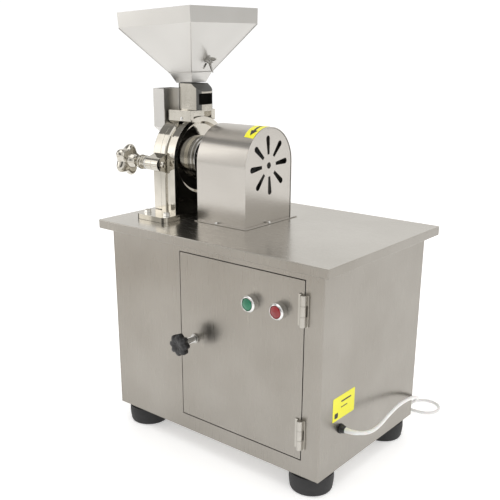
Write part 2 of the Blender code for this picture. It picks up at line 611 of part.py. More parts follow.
def build_cover():
    """Hinged cover with its clamp and air duct; the group's origin is on the hinge axis."""
    pin_x, pin_y = hinge_axis()
    frame = empty("cover_frame", (pin_x, pin_y, SHAFT_Z))
    back = PARTING_X - GAP
    bottom = TABLE_Z + 2 * GAP + MILL_FOOT[2] + 0.001
    round_off = 0.003
    steps = ((COVER_X, round_off), (COVER_X + round_off / 2, round_off * 0.3),
             (COVER_X + round_off, 0), (back, 0))
    loops = [[(x, y, z) for y, z in tombstone(HOUSING_RADIUS - inset, bottom)] for x, inset in steps]
    shift = Matrix.Translation((-pin_x, -pin_y, -SHAFT_Z))
    centre = (0, MILL_Y, SHAFT_Z)
    cover = loft("mill_cover", loops, POLISHED_STEEL, frame)
    lug = plate("cover_clamp_lug_guide", [clamp_lug()], "X", back - 0.016, back, None, frame)
    ear = plate("cover_hinge_lug_guide", [hinge_lug(back - 0.0005, -1)], "Z",
                SHAFT_Z - 0.012 + GAP, SHAFT_Z + 0.012 - GAP, None, frame)
    recess = turned("cover_recess_guide", [(COVER_X + COVER_WALL, 0), (COVER_X + COVER_WALL, CHAMBER_RADIUS),
                                           (back + 0.01, CHAMBER_RADIUS), (back + 0.01, 0)],
                    "X", centre, None, frame, segments=56)
    screw_hole = turned("cover_screw_hole_guide",
                        [(COVER_X - 0.02, 0), (COVER_X - 0.02, CLAMP_SCREW_RADIUS + GAP),
                         (back + 0.01, CLAMP_SCREW_RADIUS + GAP), (back + 0.01, 0)],
                        "X", (0, MILL_Y - CLAMP_REACH, clamp_z()), None, frame, segments=24)
    pin_bore = COVER_PIN_RADIUS + GAP
    pin_hole = turned("cover_pin_hole_guide", [(-0.03, 0), (-0.03, pin_bore), (0.03, pin_bore), (0.03, 0)],
                      "Z", (pin_x, pin_y, SHAFT_Z), None, frame, segments=24)
    inlet = plate("cover_inlet_guide", [rectangle(*duct_inlet())], "X", COVER_X - 0.01,
                  COVER_X + COVER_WALL + 0.002, None, frame)
    for tool in (lug, ear):
        join(cover, tool)
    for tool in (recess, screw_hole, pin_hole, inlet):
        cut(cover, tool)
    duct = build_duct(frame)
    for piece in (cover, lug, ear, recess, screw_hole, pin_hole, inlet, *duct):
        piece.data.transform(shift)
    turned("cover_hinge_pin",
           [(-0.036, 0), (-0.036, COVER_PIN_RADIUS), (0.0325, COVER_PIN_RADIUS), (0.0325, 0.0055),
            (0.036, 0.0055), (0.036, 0)],
           "Z", (pin_x, pin_y, SHAFT_Z), BARE_STEEL, segments=24)
    build_clamp(frame, (pin_x, pin_y, SHAFT_Z))


def duct_inlet():
    """Opening through the cover into the chamber, as (y, z) corners."""
    right = MILL_Y - DUCT_FRONT + DUCT_SIZE[1]
    front, back, low, high = DUCT_INLET
    return right - front, SHAFT_Z + low, right - back, SHAFT_Z + high


def build_duct(frame):
    """Air duct on the cover's outside: open at the top, narrowed down to the inlet."""
    left = MILL_Y - DUCT_FRONT
    right = left + DUCT_SIZE[1]
    top = SHAFT_Z + DUCT_TOP
    throat = right - DUCT_NECK
    shoulder, knee, low = (SHAFT_Z + level for level in DUCT_LEVELS)
    outer = [(left, top), (left, shoulder), (throat, knee), (throat, low), (right, low), (right, top)]
    wall = SHEET
    inner = [(left + wall, top + OVERLAP), (left + wall, shoulder + wall / 2),
             (throat + wall, knee + wall / 2), (throat + wall, low + wall), (right - wall, low + wall),
             (right - wall, top + OVERLAP)]
    back = COVER_X - GAP
    duct = plate("cover_duct", [outer], "X", back - DUCT_SIZE[0], back, SATIN_STEEL, frame)
    hollow = plate("duct_inside_guide", [inner], "X", back - DUCT_SIZE[0] + wall, back - wall, None, frame)
    mouth = plate("duct_mouth_guide", [rectangle(*duct_inlet())], "X", back - OVERLAP, back + OVERLAP,
                  None, frame)
    cut(duct, hollow)
    cut(duct, mouth)
    return duct, hollow, mouth


def build_clamp(frame, hinge):
    """Clamp on the cover's lug: a washer that travels with the screw, and the knob that turns."""
    place = (-hinge[0], MILL_Y - CLAMP_REACH - hinge[1], clamp_z() - hinge[2])
    travel = empty("clamp_travel_frame", place, parent=frame)
    lug_face = PARTING_X - GAP - 0.016
    washer = 0.003
    rim = CLAMP_LUG_END_RADIUS - 0.0002
    bore = CLAMP_SCREW_RADIUS + GAP
    turned("clamp_washer", [(lug_face - GAP - washer, bore), (lug_face - GAP - washer, rim),
                            (lug_face - GAP, rim), (lug_face - GAP, bore)],
           "X", (0, 0, 0), BARE_STEEL, travel, segments=32)
    neck = lug_face - 2 * GAP - washer
    knob_face = CLAMP_KNOB_X + CLAMP_KNOB_THICKNESS
    tip = PARTING_X + SCREW_ENGAGEMENT
    turned("clamp_screw",
           [(knob_face + GAP, 0), (knob_face + GAP, 0.0155), (neck - 0.004, 0.0130), (neck, 0.0130),
            (neck, CLAMP_SCREW_RADIUS), (tip - 0.0015, CLAMP_SCREW_RADIUS),
            (tip, CLAMP_SCREW_RADIUS - 0.0015), (tip, 0)],
           "X", (0, 0, 0), POLISHED_STEEL, travel, segments=32)
    knob = plate("clamp_knob", [star(CLAMP_KNOB_RADIUS, 0.010, 5, 10)], "X",
                 CLAMP_KNOB_X, knob_face, POLISHED_STEEL, travel)
    soften = knob.modifiers.new("rounded edges", "BEVEL")
    soften.width = 0.006
    soften.segments = 3
    soften.limit_method = "ANGLE"


# ---------------------------------------------------------------- rotor, bearings and drive
def build_rotor():
    """Shaft, two discs with hammer pins, swinging hammers and the mill pulley."""
    frame = empty("rotor_frame", (0, MILL_Y, SHAFT_Z))
    middle = (COVER_X + COVER_WALL + MILL_X - HOUSING_WALL) / 2
    half = HAMMER_THICKNESS / 2 + 2 * GAP + ROTOR_DISC_THICKNESS
    end = PULLEY_X + PULLEY_WIDTH / 2 + 0.014
    turned("rotor_shaft",
           [(middle - half - 0.003, 0), (middle - half - 0.003, 0.0145), (middle - half - GAP, 0.0145),
            (middle - half - GAP, SHAFT_RADIUS), (end - 0.011, SHAFT_RADIUS), (end - 0.011, 0.0075),
            (end, 0.0075), (end, 0)], "X", (0, 0, 0), BARE_STEEL, frame, segments=32)
    bore = SHAFT_RADIUS + GAP
    inner = half - ROTOR_DISC_THICKNESS
    rotor = turned("rotor", [(middle - half, bore), (middle - half, ROTOR_DISC_RADIUS),
                             (middle - inner, ROTOR_DISC_RADIUS), (middle - inner, 0.016),
                             (middle + inner, 0.016), (middle + inner, ROTOR_DISC_RADIUS),
                             (middle + half, ROTOR_DISC_RADIUS), (middle + half, bore)],
                   "X", (0, 0, 0), BARE_STEEL, frame, segments=48)
    for number in range(HAMMER_COUNT):
        angle = tau * number / HAMMER_COUNT + pi / 4
        pivot = (0, HAMMER_PIVOT_RADIUS * cos(angle), HAMMER_PIVOT_RADIUS * sin(angle))
        join(rotor, turned(f"hammer_pin_guide_{number}",
                           [(middle - half - 0.001, 0), (middle - half - 0.001, HAMMER_PIN_RADIUS),
                            (middle + half + 0.001, HAMMER_PIN_RADIUS), (middle + half + 0.001, 0)],
                           "X", pivot, None, frame, segments=16))
        swing = empty(f"hammer_frame_{number + 1}", pivot, (angle, 0, 0), frame)
        outline = rectangle(-HAMMER_WIDTH / 2 + 0.001, -HAMMER_WIDTH / 2, HAMMER_LENGTH, HAMMER_WIDTH / 2)
        plate(f"hammer_{number + 1}", [outline, circle((0, 0), HAMMER_PIN_RADIUS + GAP, 16)], "X",
              middle - HAMMER_THICKNESS / 2, middle + HAMMER_THICKNESS / 2, BARE_STEEL, swing)
    turned("mill_pulley", pulley(MILL_PULLEY_RADIUS, SHAFT_RADIUS + GAP), "X", (PULLEY_X, 0, 0),
           CAST_IRON, frame, segments=48)


def pulley(radius, bore):
    """V-groove pulley as a ring of (place along the shaft, radius)."""
    half = PULLEY_WIDTH / 2
    mouth = BELT_TOP_WIDTH / 2 + GAP
    floor = BELT_BOTTOM_WIDTH / 2 - 0.0006
    return [(-half, bore), (-half, radius), (-mouth, radius), (-floor, radius - BELT_HEIGHT - 0.003),
            (floor, radius - BELT_HEIGHT - 0.003), (mouth, radius), (half, radius), (half, bore)]


def build_bearings():
    """Bearing housing bolted to the mill's rear face, with a bearing at each end."""
    centre = (0, MILL_Y, SHAFT_Z)
    start, end = MILL_X + GAP, GUARD_LEFT - 0.003
    lip = BEARING_RADIUS - 0.004
    turned("bearing_housing",
           [(start, BEARING_RADIUS + GAP), (start, BEARING_HOUSING_RADIUS + 0.010),
            (start + 0.008, BEARING_HOUSING_RADIUS + 0.010), (start + 0.010, BEARING_HOUSING_RADIUS),
            (end - 0.002, BEARING_HOUSING_RADIUS), (end, BEARING_HOUSING_RADIUS - 0.002),
            (end, lip), (end - 0.002, lip), (end - 0.002, BEARING_RADIUS + GAP)],
           "X", centre, POLISHED_STEEL, segments=48)
    for name, place in (("front", start + 0.001), ("rear", end - 0.002 - GAP - BEARING_WIDTH)):
        turned(f"bearing_{name}", [(place, SHAFT_RADIUS + GAP), (place, BEARING_RADIUS),
                                   (place + BEARING_WIDTH, BEARING_RADIUS),
                                   (place + BEARING_WIDTH, SHAFT_RADIUS + GAP)],
               "X", centre, BARE_STEEL, segments=40)


def build_screen():
    """Half-round screen around the lower half of the chamber."""
    outer = CHAMBER_RADIUS - GAP
    centre = (MILL_Y, SHAFT_Z)
    outline = arc(centre, outer, 195, 345, 30) + arc(centre, outer - SCREEN_THICKNESS, 345, 195, 30)
    plate("screen", [outline], "X", PARTING_X + GAP, MILL_X - HOUSING_WALL - GAP, SATIN_STEEL)


def build_motor():
    """Foot-mounted motor on the cabinet floor, its shaft and pulley, and the V-belt."""
    axis_z = CABINET_Z + SHEET + GAP + MOTOR_AXIS_HEIGHT
    centre = (0, MILL_Y, axis_z)
    start, end = MOTOR_FACE_X, MOTOR_FACE_X + MOTOR_LENGTH
    motor = turned("motor",
                   [(start, 0), (start, 0.030), (start + 0.006, MOTOR_RADIUS - 0.006),
                    (start + 0.016, MOTOR_RADIUS), (end - 0.040, MOTOR_RADIUS),
                    (end - 0.038, MOTOR_RADIUS + 0.003), (end - 0.012, MOTOR_RADIUS + 0.003),
                    (end, MOTOR_RADIUS - 0.012), (end, 0)],
                   "X", centre, MOTOR_PAINT, segments=44)
    foot = CABINET_Z + SHEET + GAP
    join(motor, box("motor_foot_guide", (start + 0.040, MILL_Y - 0.062, foot),
                    (start + 0.140, MILL_Y + 0.062, foot + 0.012), None))
    join(motor, box("motor_web_guide", (start + 0.045, MILL_Y - 0.040, foot + 0.006),
                    (start + 0.135, MILL_Y + 0.040, axis_z), None))
    join(motor, box("terminal_box_guide", (start + 0.055, MILL_Y - 0.040, axis_z),
                    (start + 0.125, MILL_Y + 0.040, axis_z + MOTOR_RADIUS + 0.028), None))
    spin = empty("motor_shaft_frame", (0, MILL_Y, axis_z))
    shaft_end = PULLEY_X - PULLEY_WIDTH / 2 - 0.003
    turned("motor_shaft", [(shaft_end, 0), (shaft_end, MOTOR_SHAFT_RADIUS),
                           (start - GAP, MOTOR_SHAFT_RADIUS), (start - GAP, 0)],
           "X", (0, 0, 0), BARE_STEEL, spin, segments=24)
    turned("motor_pulley", pulley(MOTOR_PULLEY_RADIUS, MOTOR_SHAFT_RADIUS + GAP), "X",
           (PULLEY_X, 0, 0), CAST_IRON, spin, segments=56)
    build_belt(axis_z)


def build_belt(axis_z):
    """V-belt: its section follows two arcs and the two straight runs between them."""
    seat = BELT_HEIGHT + 2 * GAP
    upper, lower = MILL_PULLEY_RADIUS - seat, MOTOR_PULLEY_RADIUS - seat
    lean = atan2(lower - upper, SHAFT_Z - axis_z)
    places = []
    steps = 20
    for centre_z, radius, start, end in ((SHAFT_Z, upper, -lean, pi + lean),
                                         (axis_z, lower, pi + lean, tau - lean)):
        for step in range(steps + 1):
            places.append((centre_z, radius, start + (end - start) * step / steps))
    loops = []
    for centre_z, radius, angle in places:
        ring = []
        for side, reach in ((-BELT_BOTTOM_WIDTH, 0), (-BELT_TOP_WIDTH, BELT_HEIGHT),
                            (BELT_TOP_WIDTH, BELT_HEIGHT), (BELT_BOTTOM_WIDTH, 0)):
            ring.append((PULLEY_X + side / 2 * BELT_FIT, MILL_Y + (radius + reach) * cos(angle),
                         centre_z + (radius + reach) * sin(angle)))
        loops.append(ring)
    loft("v_belt", loops, BLACK_RUBBER, joined=True)


# ---------------------------------------------------------------- belt guard
def build_guard():
    """Arched sheet guard with a base lip, open towards the mill, and its slotted end plate."""
    floor = TABLE_Z + GAP
    shell = plate("guard_shell", [tombstone(GUARD_RADIUS, floor)], "X", GUARD_LEFT, GUARD_RIGHT, SATIN_STEEL)
    for number, side in enumerate((-1, 1)):
        edge = MILL_Y + side * (GUARD_RADIUS - 0.001)
        lip = MILL_Y + side * (GUARD_RADIUS + GUARD_LIP)
        join(shell, box(f"guard_lip_guide_{number}", (GUARD_LEFT, min(edge, lip), floor),
                        (GUARD_RIGHT, max(edge, lip), floor + SHEET), None))
    cut(shell, plate("guard_inside_guide", [tombstone(GUARD_RADIUS - SHEET, floor - OVERLAP)], "X",
                     GUARD_LEFT - OVERLAP, GUARD_RIGHT + GUARD_LIP / 2, None))
    join(shell, box("guard_end_lip_guide",
                    (GUARD_RIGHT - 0.001 + GAP, MILL_Y - GUARD_RADIUS - GUARD_LIP, floor),
                    (GUARD_RIGHT + GUARD_LIP, MILL_Y + GUARD_RADIUS + GUARD_LIP, floor + SHEET), None))
    slots = [circle((MILL_Y, SHAFT_Z), 0.006)]
    for number in range(SLOT_COUNT):
        slots.append(radial_slot(tau * number / SLOT_COUNT + radians(4)))
    plate("guard_end_plate", [tombstone(GUARD_RADIUS - SHEET - GAP, floor)] + slots, "X",
          GUARD_RIGHT - SHEET - 0.001, GUARD_RIGHT - 0.001, SATIN_STEEL)


def radial_slot(angle):
    """Slot that widens outwards, with a round outer end, as (y, z)."""
    inner, outer = SLOT_SPAN
    narrow, wide = SLOT_WIDTHS[0] / 2, SLOT_WIDTHS[1] / 2
    points = [(inner, narrow), (inner, -narrow), (outer - wide, -wide)]
    points += arc((outer - wide, 0), wide, -60, 60, 4)
    points += [(outer - wide, wide)]
    return [(MILL_Y + u * cos(angle) - v * sin(angle), SHAFT_Z + u * sin(angle) + v * cos(angle))
            for u, v in points]


# ---------------------------------------------------------------- feed: block, throat, hopper and gate
def build_feed():
    """Saddle block on the housing, then the throat with its window."""
    block_top = SHAFT_Z + BLOCK_TOP
    reach = HOUSING_RADIUS + 0.0005
    rise = sqrt(reach ** 2 - BLOCK_HALF_WIDTH ** 2)
    side = degrees(atan2(rise, BLOCK_HALF_WIDTH))
    saddle = arc((MILL_Y, SHAFT_Z), reach, 180 - side, side, 14)
    outline = saddle + [(MILL_Y + BLOCK_HALF_WIDTH, block_top), (MILL_Y - BLOCK_HALF_WIDTH, block_top)]
    block = plate("feed_block", [outline], "X", BLOCK_SPAN[0], BLOCK_SPAN[1], POLISHED_STEEL)
    half = FEED_OPENING / 2
    cut(block, box("block_hole_guide", (PARTING_X + 0.004, MILL_Y - half, SHAFT_Z),
                   (MILL_X - HOUSING_WALL - 0.002, MILL_Y + half, block_top + OVERLAP), None))
    pocket = (MILL_Y - BLOCK_HALF_WIDTH + 0.009, MILL_Y + BLOCK_HALF_WIDTH - 0.011)
    cut(block, box("block_pocket_guide", (BLOCK_SPAN[1] - POCKET_DEPTH, pocket[0], block_top - 0.018),
                   (BLOCK_SPAN[1] + OVERLAP, pocket[1], block_top - 0.003), None))
    low, high = block_top + GAP, block_top + GAP + THROAT_HEIGHT
    left, right = THROAT_SPAN
    wall = 0.002
    front, back = MILL_Y - THROAT_HALF_WIDTH, MILL_Y + THROAT_HALF_WIDTH
    plan = rounded(left, front, right, back, THROAT_ROUND)
    throat = plate("feed_throat", [plan], "Z", low, high, POLISHED_STEEL)
    roof = [(right - 0.020, high + 0.01), (right - 0.020, high), (right + 0.001, high - 0.0155),
            (right + 0.01, high - 0.0155), (right + 0.01, high + 0.01)]
    cut(throat, plate("throat_roof_guide", [roof], "Y", front - 0.01, back + 0.01, None))
    inside = [(left + wall, low - 0.01), (MILL_X - HOUSING_WALL - 0.002, low - 0.01),
              (MILL_X - HOUSING_WALL - 0.002, low), (right - wall, low + 0.010),
              (right - wall, high - 0.0175), (right - 0.0205, high - wall), (right - 0.0205, high + 0.01),
              (left + wall, high + 0.01)]
    room = plate("throat_room_guide", [rounded(left + wall, front + wall, right - wall, back - wall,
                                               THROAT_ROUND - wall)], "Z", low - 0.01, high + 0.01, None)
    cut(throat, shape(room, plate("throat_inside_guide", [inside], "Y", front, back, None), "INTERSECT"))
    sill = low + 0.006
    cut(throat, box("throat_window_guide", (right - 0.010, front + 0.004, sill + 0.005),
                    (right + 0.010, back - 0.004, sill + WINDOW_HEIGHT - 0.002), None))
    build_hopper(high)


def hopper_wall(height, inset=0.0):
    """Half width of the hopper's outside, less an inset, at a height above its outlet."""
    for (low, narrow), (high, wide) in zip(HOPPER_LEVELS, HOPPER_LEVELS[1:]):
        if height <= high:
            return narrow + (wide - narrow) * (height - low) / (high - low) - inset
    return HOPPER_LEVELS[-1][1] - inset


def build_hopper(outlet_z):
    """Square hopper in sheet, leaning a little, with the sliding gate inside its right wall."""
    rise = GAP + HOPPER_LEVELS[0][1] * sin(HOPPER_LEAN)
    frame = empty("hopper_frame", (FEED_X, MILL_Y, outlet_z + rise), (0, -HOPPER_LEAN, 0))
    loops = []
    for height, half in HOPPER_LEVELS:
        loops.append([(x * half, y * half, height) for x, y in ((-1, -1), (1, -1), (1, 1), (-1, 1))])
    for height, half in reversed(HOPPER_LEVELS):
        slim = half - HOPPER_SHEET
        loops.append([(x * slim, y * slim, height) for x, y in ((-1, -1), (1, -1), (1, 1), (-1, 1))])
    hopper = loft("hopper", loops, SATIN_STEEL, frame, joined=True)
    (low, narrow), (high, wide) = HOPPER_LEVELS[1:3]
    slope = atan2(wide - narrow, high - low)
    gate = empty("gate_frame", (hopper_wall(GATE_HEIGHT), 0, GATE_HEIGHT), (0, slope, 0), frame)
    slot = rounded(-GATE_TRAVEL - STUD_RADIUS - 0.0005, -STUD_RADIUS - 0.0005, STUD_RADIUS + 0.0005,
                   STUD_RADIUS + 0.0005, STUD_RADIUS)
    cut(hopper, plate("gate_slot_guide", [[(y, z) for z, y in slot]], "X", -0.006, 0.004, None, gate))
    build_gate(gate)


def build_gate(frame):
    """Gate plate with its stud through the slot, and the wing nut outside; local +X points out."""
    back = -GATE_SETBACK - 2 * GAP
    plate_thickness = 0.002
    outline = rectangle(-GATE_WIDTH / 2, -GATE_LENGTH / 2 + 0.004, GATE_WIDTH / 2, GATE_LENGTH / 2)
    gate = plate("feed_gate", [outline], "X", back - plate_thickness, back, SATIN_STEEL, frame)
    join(gate, turned("gate_stud_guide",
                      [(back - 0.001, 0), (back - 0.001, STUD_RADIUS), (0.014, STUD_RADIUS), (0.014, 0)],
                      "X", (0, 0, 0), None, frame, segments=20))
    nut = empty("wing_frame", (0, 0, 0), (WING_TURN, 0, 0), frame)
    bore = STUD_RADIUS + GAP
    wing = turned("wing_nut", [(GAP, bore), (GAP, 0.0085), (0.0015, 0.0085), (0.0018, 0.0060),
                               (0.0100, 0.0045), (0.0100, bore)],
                  "X", (0, 0, 0), BARE_STEEL, nut, segments=24)
    for number, side in enumerate((-1, 1)):
        outline = [(0.002, side * 0.0042), (0.008, side * 0.0042), (0.0200, side * 0.0130),
                   (0.0225, side * 0.0175), (0.0190, side * 0.0190), (0.0100, side * 0.0130)]
        join(wing, plate(f"wing_guide_{number}", [outline], "Z", -0.0013, 0.0013, None, nut))


# ---------------------------------------------------------------- mains lead
def build_gland():
    """Cable gland through the right panel; its bore lets the lead pass."""
    place = (RIGHT_X, GLAND_PLACE[0], CABINET_Z + GLAND_PLACE[1])
    bore = CORD_RADIUS + GAP
    neck = GLAND_RADIUS - 0.002
    turned("cable_gland",
           [(-0.006, bore), (-0.006, neck), (GAP, neck), (GAP, GLAND_RADIUS),
            (GLAND_REACH - 0.004, GLAND_RADIUS), (GLAND_REACH, GLAND_RADIUS - 0.003), (GLAND_REACH, bore)],
           "X", place, BLACK_PLASTIC, segments=32)


# The lead's route, on the floor's frame: out of the gland and back along the side, down behind
# the machine to the floor, round one loose turn, and under itself to the coil.
CORD_ROUTE = (
    (0.2735, -0.0865, 0.1195), (0.2790, -0.0865, 0.1195), (0.2909, -0.0841, 0.1195),
    (0.3009, -0.0774, 0.1194), (0.3076, -0.0674, 0.1192), (0.3100, -0.0555, 0.1188),
    (0.3080, -0.0285, 0.1175), (0.2985, 0.0215, 0.1150), (0.2900, 0.0715, 0.1110),
    (0.2835, 0.1215, 0.1030), (0.2770, 0.1675, 0.0890), (0.2640, 0.2075, 0.0680),
    (0.2430, 0.2415, 0.0420), (0.2200, 0.2685, 0.0190), (0.2100, 0.2855, 0.0090),
    (0.2068, 0.3025, 0.0046), (0.2110, 0.3181, 0.0036), (0.2223, 0.3295, 0.0036),
    (0.2380, 0.3337, 0.0036), (0.2535, 0.3295, 0.0036), (0.2648, 0.3181, 0.0036),
    (0.2690, 0.3025, 0.0036), (0.2648, 0.2870, 0.0036), (0.2535, 0.2757, 0.0036),
    (0.2380, 0.2715, 0.0036), (0.2100, 0.2715, 0.0036), (0.1800, 0.2795, 0.0036),
    (0.1500, 0.2975, 0.0036), (0.1200, 0.3160, 0.0036), (0.0900, 0.3250, 0.0036),
    (0.0690, 0.3264, 0.0036))
COIL_CENTRE = (0.055, 0.2735)
COIL_RADIUS = 0.040          # middle of the turns
COIL_WIDTH = 0.0165
COIL_HEIGHT = 0.0158
PLUG_PLACE = (0.052, 0.2212, 0.012)
PLUG_TURN = radians(-10)


def smooth_curve(points, spacing):
    """Points a set spacing apart along a Catmull-Rom curve through the given ones."""
    ends = [points[0] * 2 - points[1]] + list(points) + [points[-1] * 2 - points[-2]]
    fine = []
    for before, start, end, after in zip(ends, ends[1:], ends[2:], ends[3:]):
        for step in range(24):
            t = step / 24
            fine.append(0.5 * (2 * start + (end - before) * t
                               + (2 * before - 5 * start + 4 * end - after) * t ** 2
                               + (3 * start - before - 3 * end + after) * t ** 3))
    fine.append(points[-1])
    kept = [fine[0]]
    for point in fine[1:-1]:
        if (point - kept[-1]).length >= spacing:
            kept.append(point)
    return kept + [fine[-1]]


def build_lead():
    """The lead as a tube along its open stretch, a turned ring for its coil, and the plug."""
    curve = bpy.data.curves.new("power_cord", "CURVE")
    curve.dimensions = "3D"
    curve.bevel_depth = CORD_RADIUS
    curve.bevel_resolution = 2
    curve.use_fill_caps = True
    route = smooth_curve([Vector(point) for point in CORD_ROUTE], 0.018)
    spline = curve.splines.new("POLY")
    spline.points.add(len(route) - 1)
    for point, place in zip(spline.points, route):
        point.co = (*place, 1)
    curve.materials.append(WHITE_PVC)
    cord = bpy.data.objects.new("power_cord", curve)
    bpy.context.collection.objects.link(cord)
    inner, outer = COIL_RADIUS - COIL_WIDTH / 2, COIL_RADIUS + COIL_WIDTH / 2
    turned("cord_coil", [(GAP, inner), (GAP, outer), (COIL_HEIGHT, outer), (COIL_HEIGHT, inner)],
           "Z", (*COIL_CENTRE, 0), WHITE_PVC, None, segments=40)
    frame = empty("plug_frame", PLUG_PLACE, (0, 0, PLUG_TURN), None)
    plug = turned("mains_plug", [(0, 0), (0, CORD_RADIUS), (0.022, 0.0060), (0.030, 0.0060), (0.030, 0)],
                  "X", (0, 0, 0), WHITE_PVC, frame, segments=16)
    join(plug, plate("plug_body_guide", [rounded(-0.0115, -0.0117, 0.0115, 0.0117, 0.005)], "X",
                     0.024, 0.060, None, frame))
    for number, side in enumerate((-1, 1)):
        join(plug, turned(f"plug_pin_guide_{number}",
                          [(0.050, 0), (0.050, 0.0023), (0.079, 0.0023), (0.079, 0)],
                          "X", (0, side * 0.0065, 0), None, frame, segments=12))


build_cabinet()
build_table()
build_drawer()
build_door()
build_housing()
build_cover()
build_rotor()
build_bearings()
build_screen()
build_motor()
build_guard()
build_feed()
build_gland()
build_lead()
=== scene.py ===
# %% [markdown]
# # A small hammer mill on a steel cabinet
# Grain goes in at the square hopper, swinging hammers break it in the round chamber, and the
# meal falls through the table into a drawer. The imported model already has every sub-part in
# its place, so this lesson adds what the eye looks for: brushed and polished steel, cast and
# moulded shapes, screws, labels and the mains lead. The frame comes first, because every size
# and place below is worked out from it.

# %% Load the frame
from math import cos, pi, radians, sin, tau

import bmesh
import bpy
import numpy as np
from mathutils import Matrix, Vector


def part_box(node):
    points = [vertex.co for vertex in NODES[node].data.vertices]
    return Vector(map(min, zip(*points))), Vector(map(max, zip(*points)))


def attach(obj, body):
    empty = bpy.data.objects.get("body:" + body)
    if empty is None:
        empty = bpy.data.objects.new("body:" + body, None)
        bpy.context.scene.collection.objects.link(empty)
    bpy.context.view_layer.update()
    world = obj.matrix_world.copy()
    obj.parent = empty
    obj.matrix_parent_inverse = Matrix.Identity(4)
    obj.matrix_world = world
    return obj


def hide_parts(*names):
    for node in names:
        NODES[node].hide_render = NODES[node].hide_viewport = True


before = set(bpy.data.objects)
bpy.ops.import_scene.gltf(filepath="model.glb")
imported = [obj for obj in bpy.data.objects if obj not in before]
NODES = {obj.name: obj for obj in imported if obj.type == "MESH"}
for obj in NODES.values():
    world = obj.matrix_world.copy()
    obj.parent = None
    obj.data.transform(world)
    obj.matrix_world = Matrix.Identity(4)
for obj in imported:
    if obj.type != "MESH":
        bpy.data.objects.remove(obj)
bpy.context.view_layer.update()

# %% [markdown]
# ## The camera
# A camera with a medium-long lens stands in front of the machine and to its right, a little
# above the table. Its sensor is shifted instead of being tilted further, so upright edges
# keep the slight taper that a product picture has.

# %% Camera
CABINET_MIDDLE = (0.01315, 0.0155)
lens = bpy.data.cameras.new("camera")
lens.lens = 54.98
lens.sensor_width = 36
lens.shift_x = 0.0252
lens.shift_y = 0.088
camera = bpy.data.objects.new("camera", lens)
bpy.context.scene.collection.objects.link(camera)
camera.location = (CABINET_MIDDLE[0] + 0.881, CABINET_MIDDLE[1] - 1.139, 0.7665)
camera.rotation_euler = (radians(90 - 18.35), 0, radians(39.91))
bpy.context.scene.camera = camera
print("camera at", tuple(round(v, 3) for v in camera.location))

# %% [markdown]
# ## Surfaces from arrays
# Every new piece is a grid of points that is worked out for all its rows and columns at once.
# One helper turns such a grid into a mesh, and closes it where its columns or rows come round
# to their start. Points that fall together, as at a pole, are merged.

# %% Helpers for meshes
def grid_quads(rows, columns, around, along=False):
    """Faces of a grid: each joins a point with the next in its row and with the row above.
    A grid that is closed around takes its first column again after its last."""
    row = np.arange(rows if along else rows - 1)[:, None]
    column = np.arange(columns if around else columns - 1)[None, :]
    after, above = (column + 1) % columns, (row + 1) % rows
    corners = (row * columns + column, row * columns + after,
               above * columns + after, above * columns + column)
    return np.stack([np.broadcast_to(c, (row.size, column.size)) for c in corners], -1).reshape(-1, 4)


def piece_from(name, points, quads, look, body, smooth=32):
    """Mesh object from points and faces, merged, turned outwards, and shaded smooth where it
    bends less than the given number of degrees."""
    mesh = bpy.data.meshes.new(name)
    mesh.from_pydata(np.asarray(points, float).reshape(-1, 3).tolist(), [], np.asarray(quads).tolist())
    work = bmesh.new()
    work.from_mesh(mesh)
    bmesh.ops.remove_doubles(work, verts=work.verts, dist=1e-6)
    bmesh.ops.dissolve_degenerate(work, edges=work.edges, dist=1e-7)
    bmesh.ops.recalc_face_normals(work, faces=work.faces)
    work.to_mesh(mesh)
    work.free()
    mesh.shade_smooth()
    mesh.set_sharp_from_angle(angle=radians(smooth))
    mesh.materials.append(look)
    made = bpy.data.objects.new(name, mesh)
    bpy.context.scene.collection.objects.link(made)
    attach(made, body)
    return made


AXIS_FRAMES = {"X": ((0, 1, 0), (0, 0, 1), (1, 0, 0)), "Y": ((1, 0, 0), (0, 0, 1), (0, 1, 0)),
               "Z": ((1, 0, 0), (0, 1, 0), (0, 0, 1))}


def turned_points(profile, axis, centre, steps=48, swell=None):
    """Every profile point (place along the axis, radius) is carried round the axis:
    centre + along * axis + radius * (cos angle * first + sin angle * second).
    swell(angles) scales each radius, for lobes and flutes."""
    first, second, main = (np.array(v, float) for v in AXIS_FRAMES[axis])
    along, radius = np.array(profile, float).T
    angle = tau * np.arange(steps) / steps
    reach = radius[:, None] * (np.ones(steps) if swell is None else swell(angle, radius[:, None]))
    ring = reach[..., None] * (np.cos(angle)[:, None] * first + np.sin(angle)[:, None] * second)
    return np.array(centre, float) + along[:, None, None] * main + ring


def turned(name, profile, axis, centre, look, body, steps=48, swell=None, smooth=32):
    """Solid or ring turned about an axis. It is a ring where the profile has no point on it."""
    points = turned_points(profile, axis, centre, steps, swell)
    ring = profile[0][1] > 0 and profile[-1][1] > 0
    return piece_from(name, points, grid_quads(len(profile), steps, True, ring), look, body, smooth)


def swept(name, path, outline, look, body, up=(0, 0, 1), smooth=40, closed=False):
    """Outline (side, rise) carried along a path. At each point side lies across the path and
    the up direction, and rise across both: point + side * across + rise * over."""
    path, outline = np.array(path, float), np.array(outline, float)
    ahead = np.roll(path, -1, 0) - np.roll(path, 1, 0)
    if not closed:
        ahead[0], ahead[-1] = path[1] - path[0], path[-1] - path[-2]
    ahead /= np.linalg.norm(ahead, axis=1)[:, None]
    across = np.cross(ahead, up)
    across /= np.linalg.norm(across, axis=1)[:, None]
    over = np.cross(across, ahead)
    points = path[:, None] + outline[None, :, :1] * across[:, None] + outline[None, :, 1:] * over[:, None]
    if not closed:
        points = np.concatenate([np.repeat(path[:1, None], len(outline), 1), points,
                                 np.repeat(path[-1:, None], len(outline), 1)])
    return piece_from(name, points, grid_quads(len(points), len(outline), True, closed), look, body, smooth)


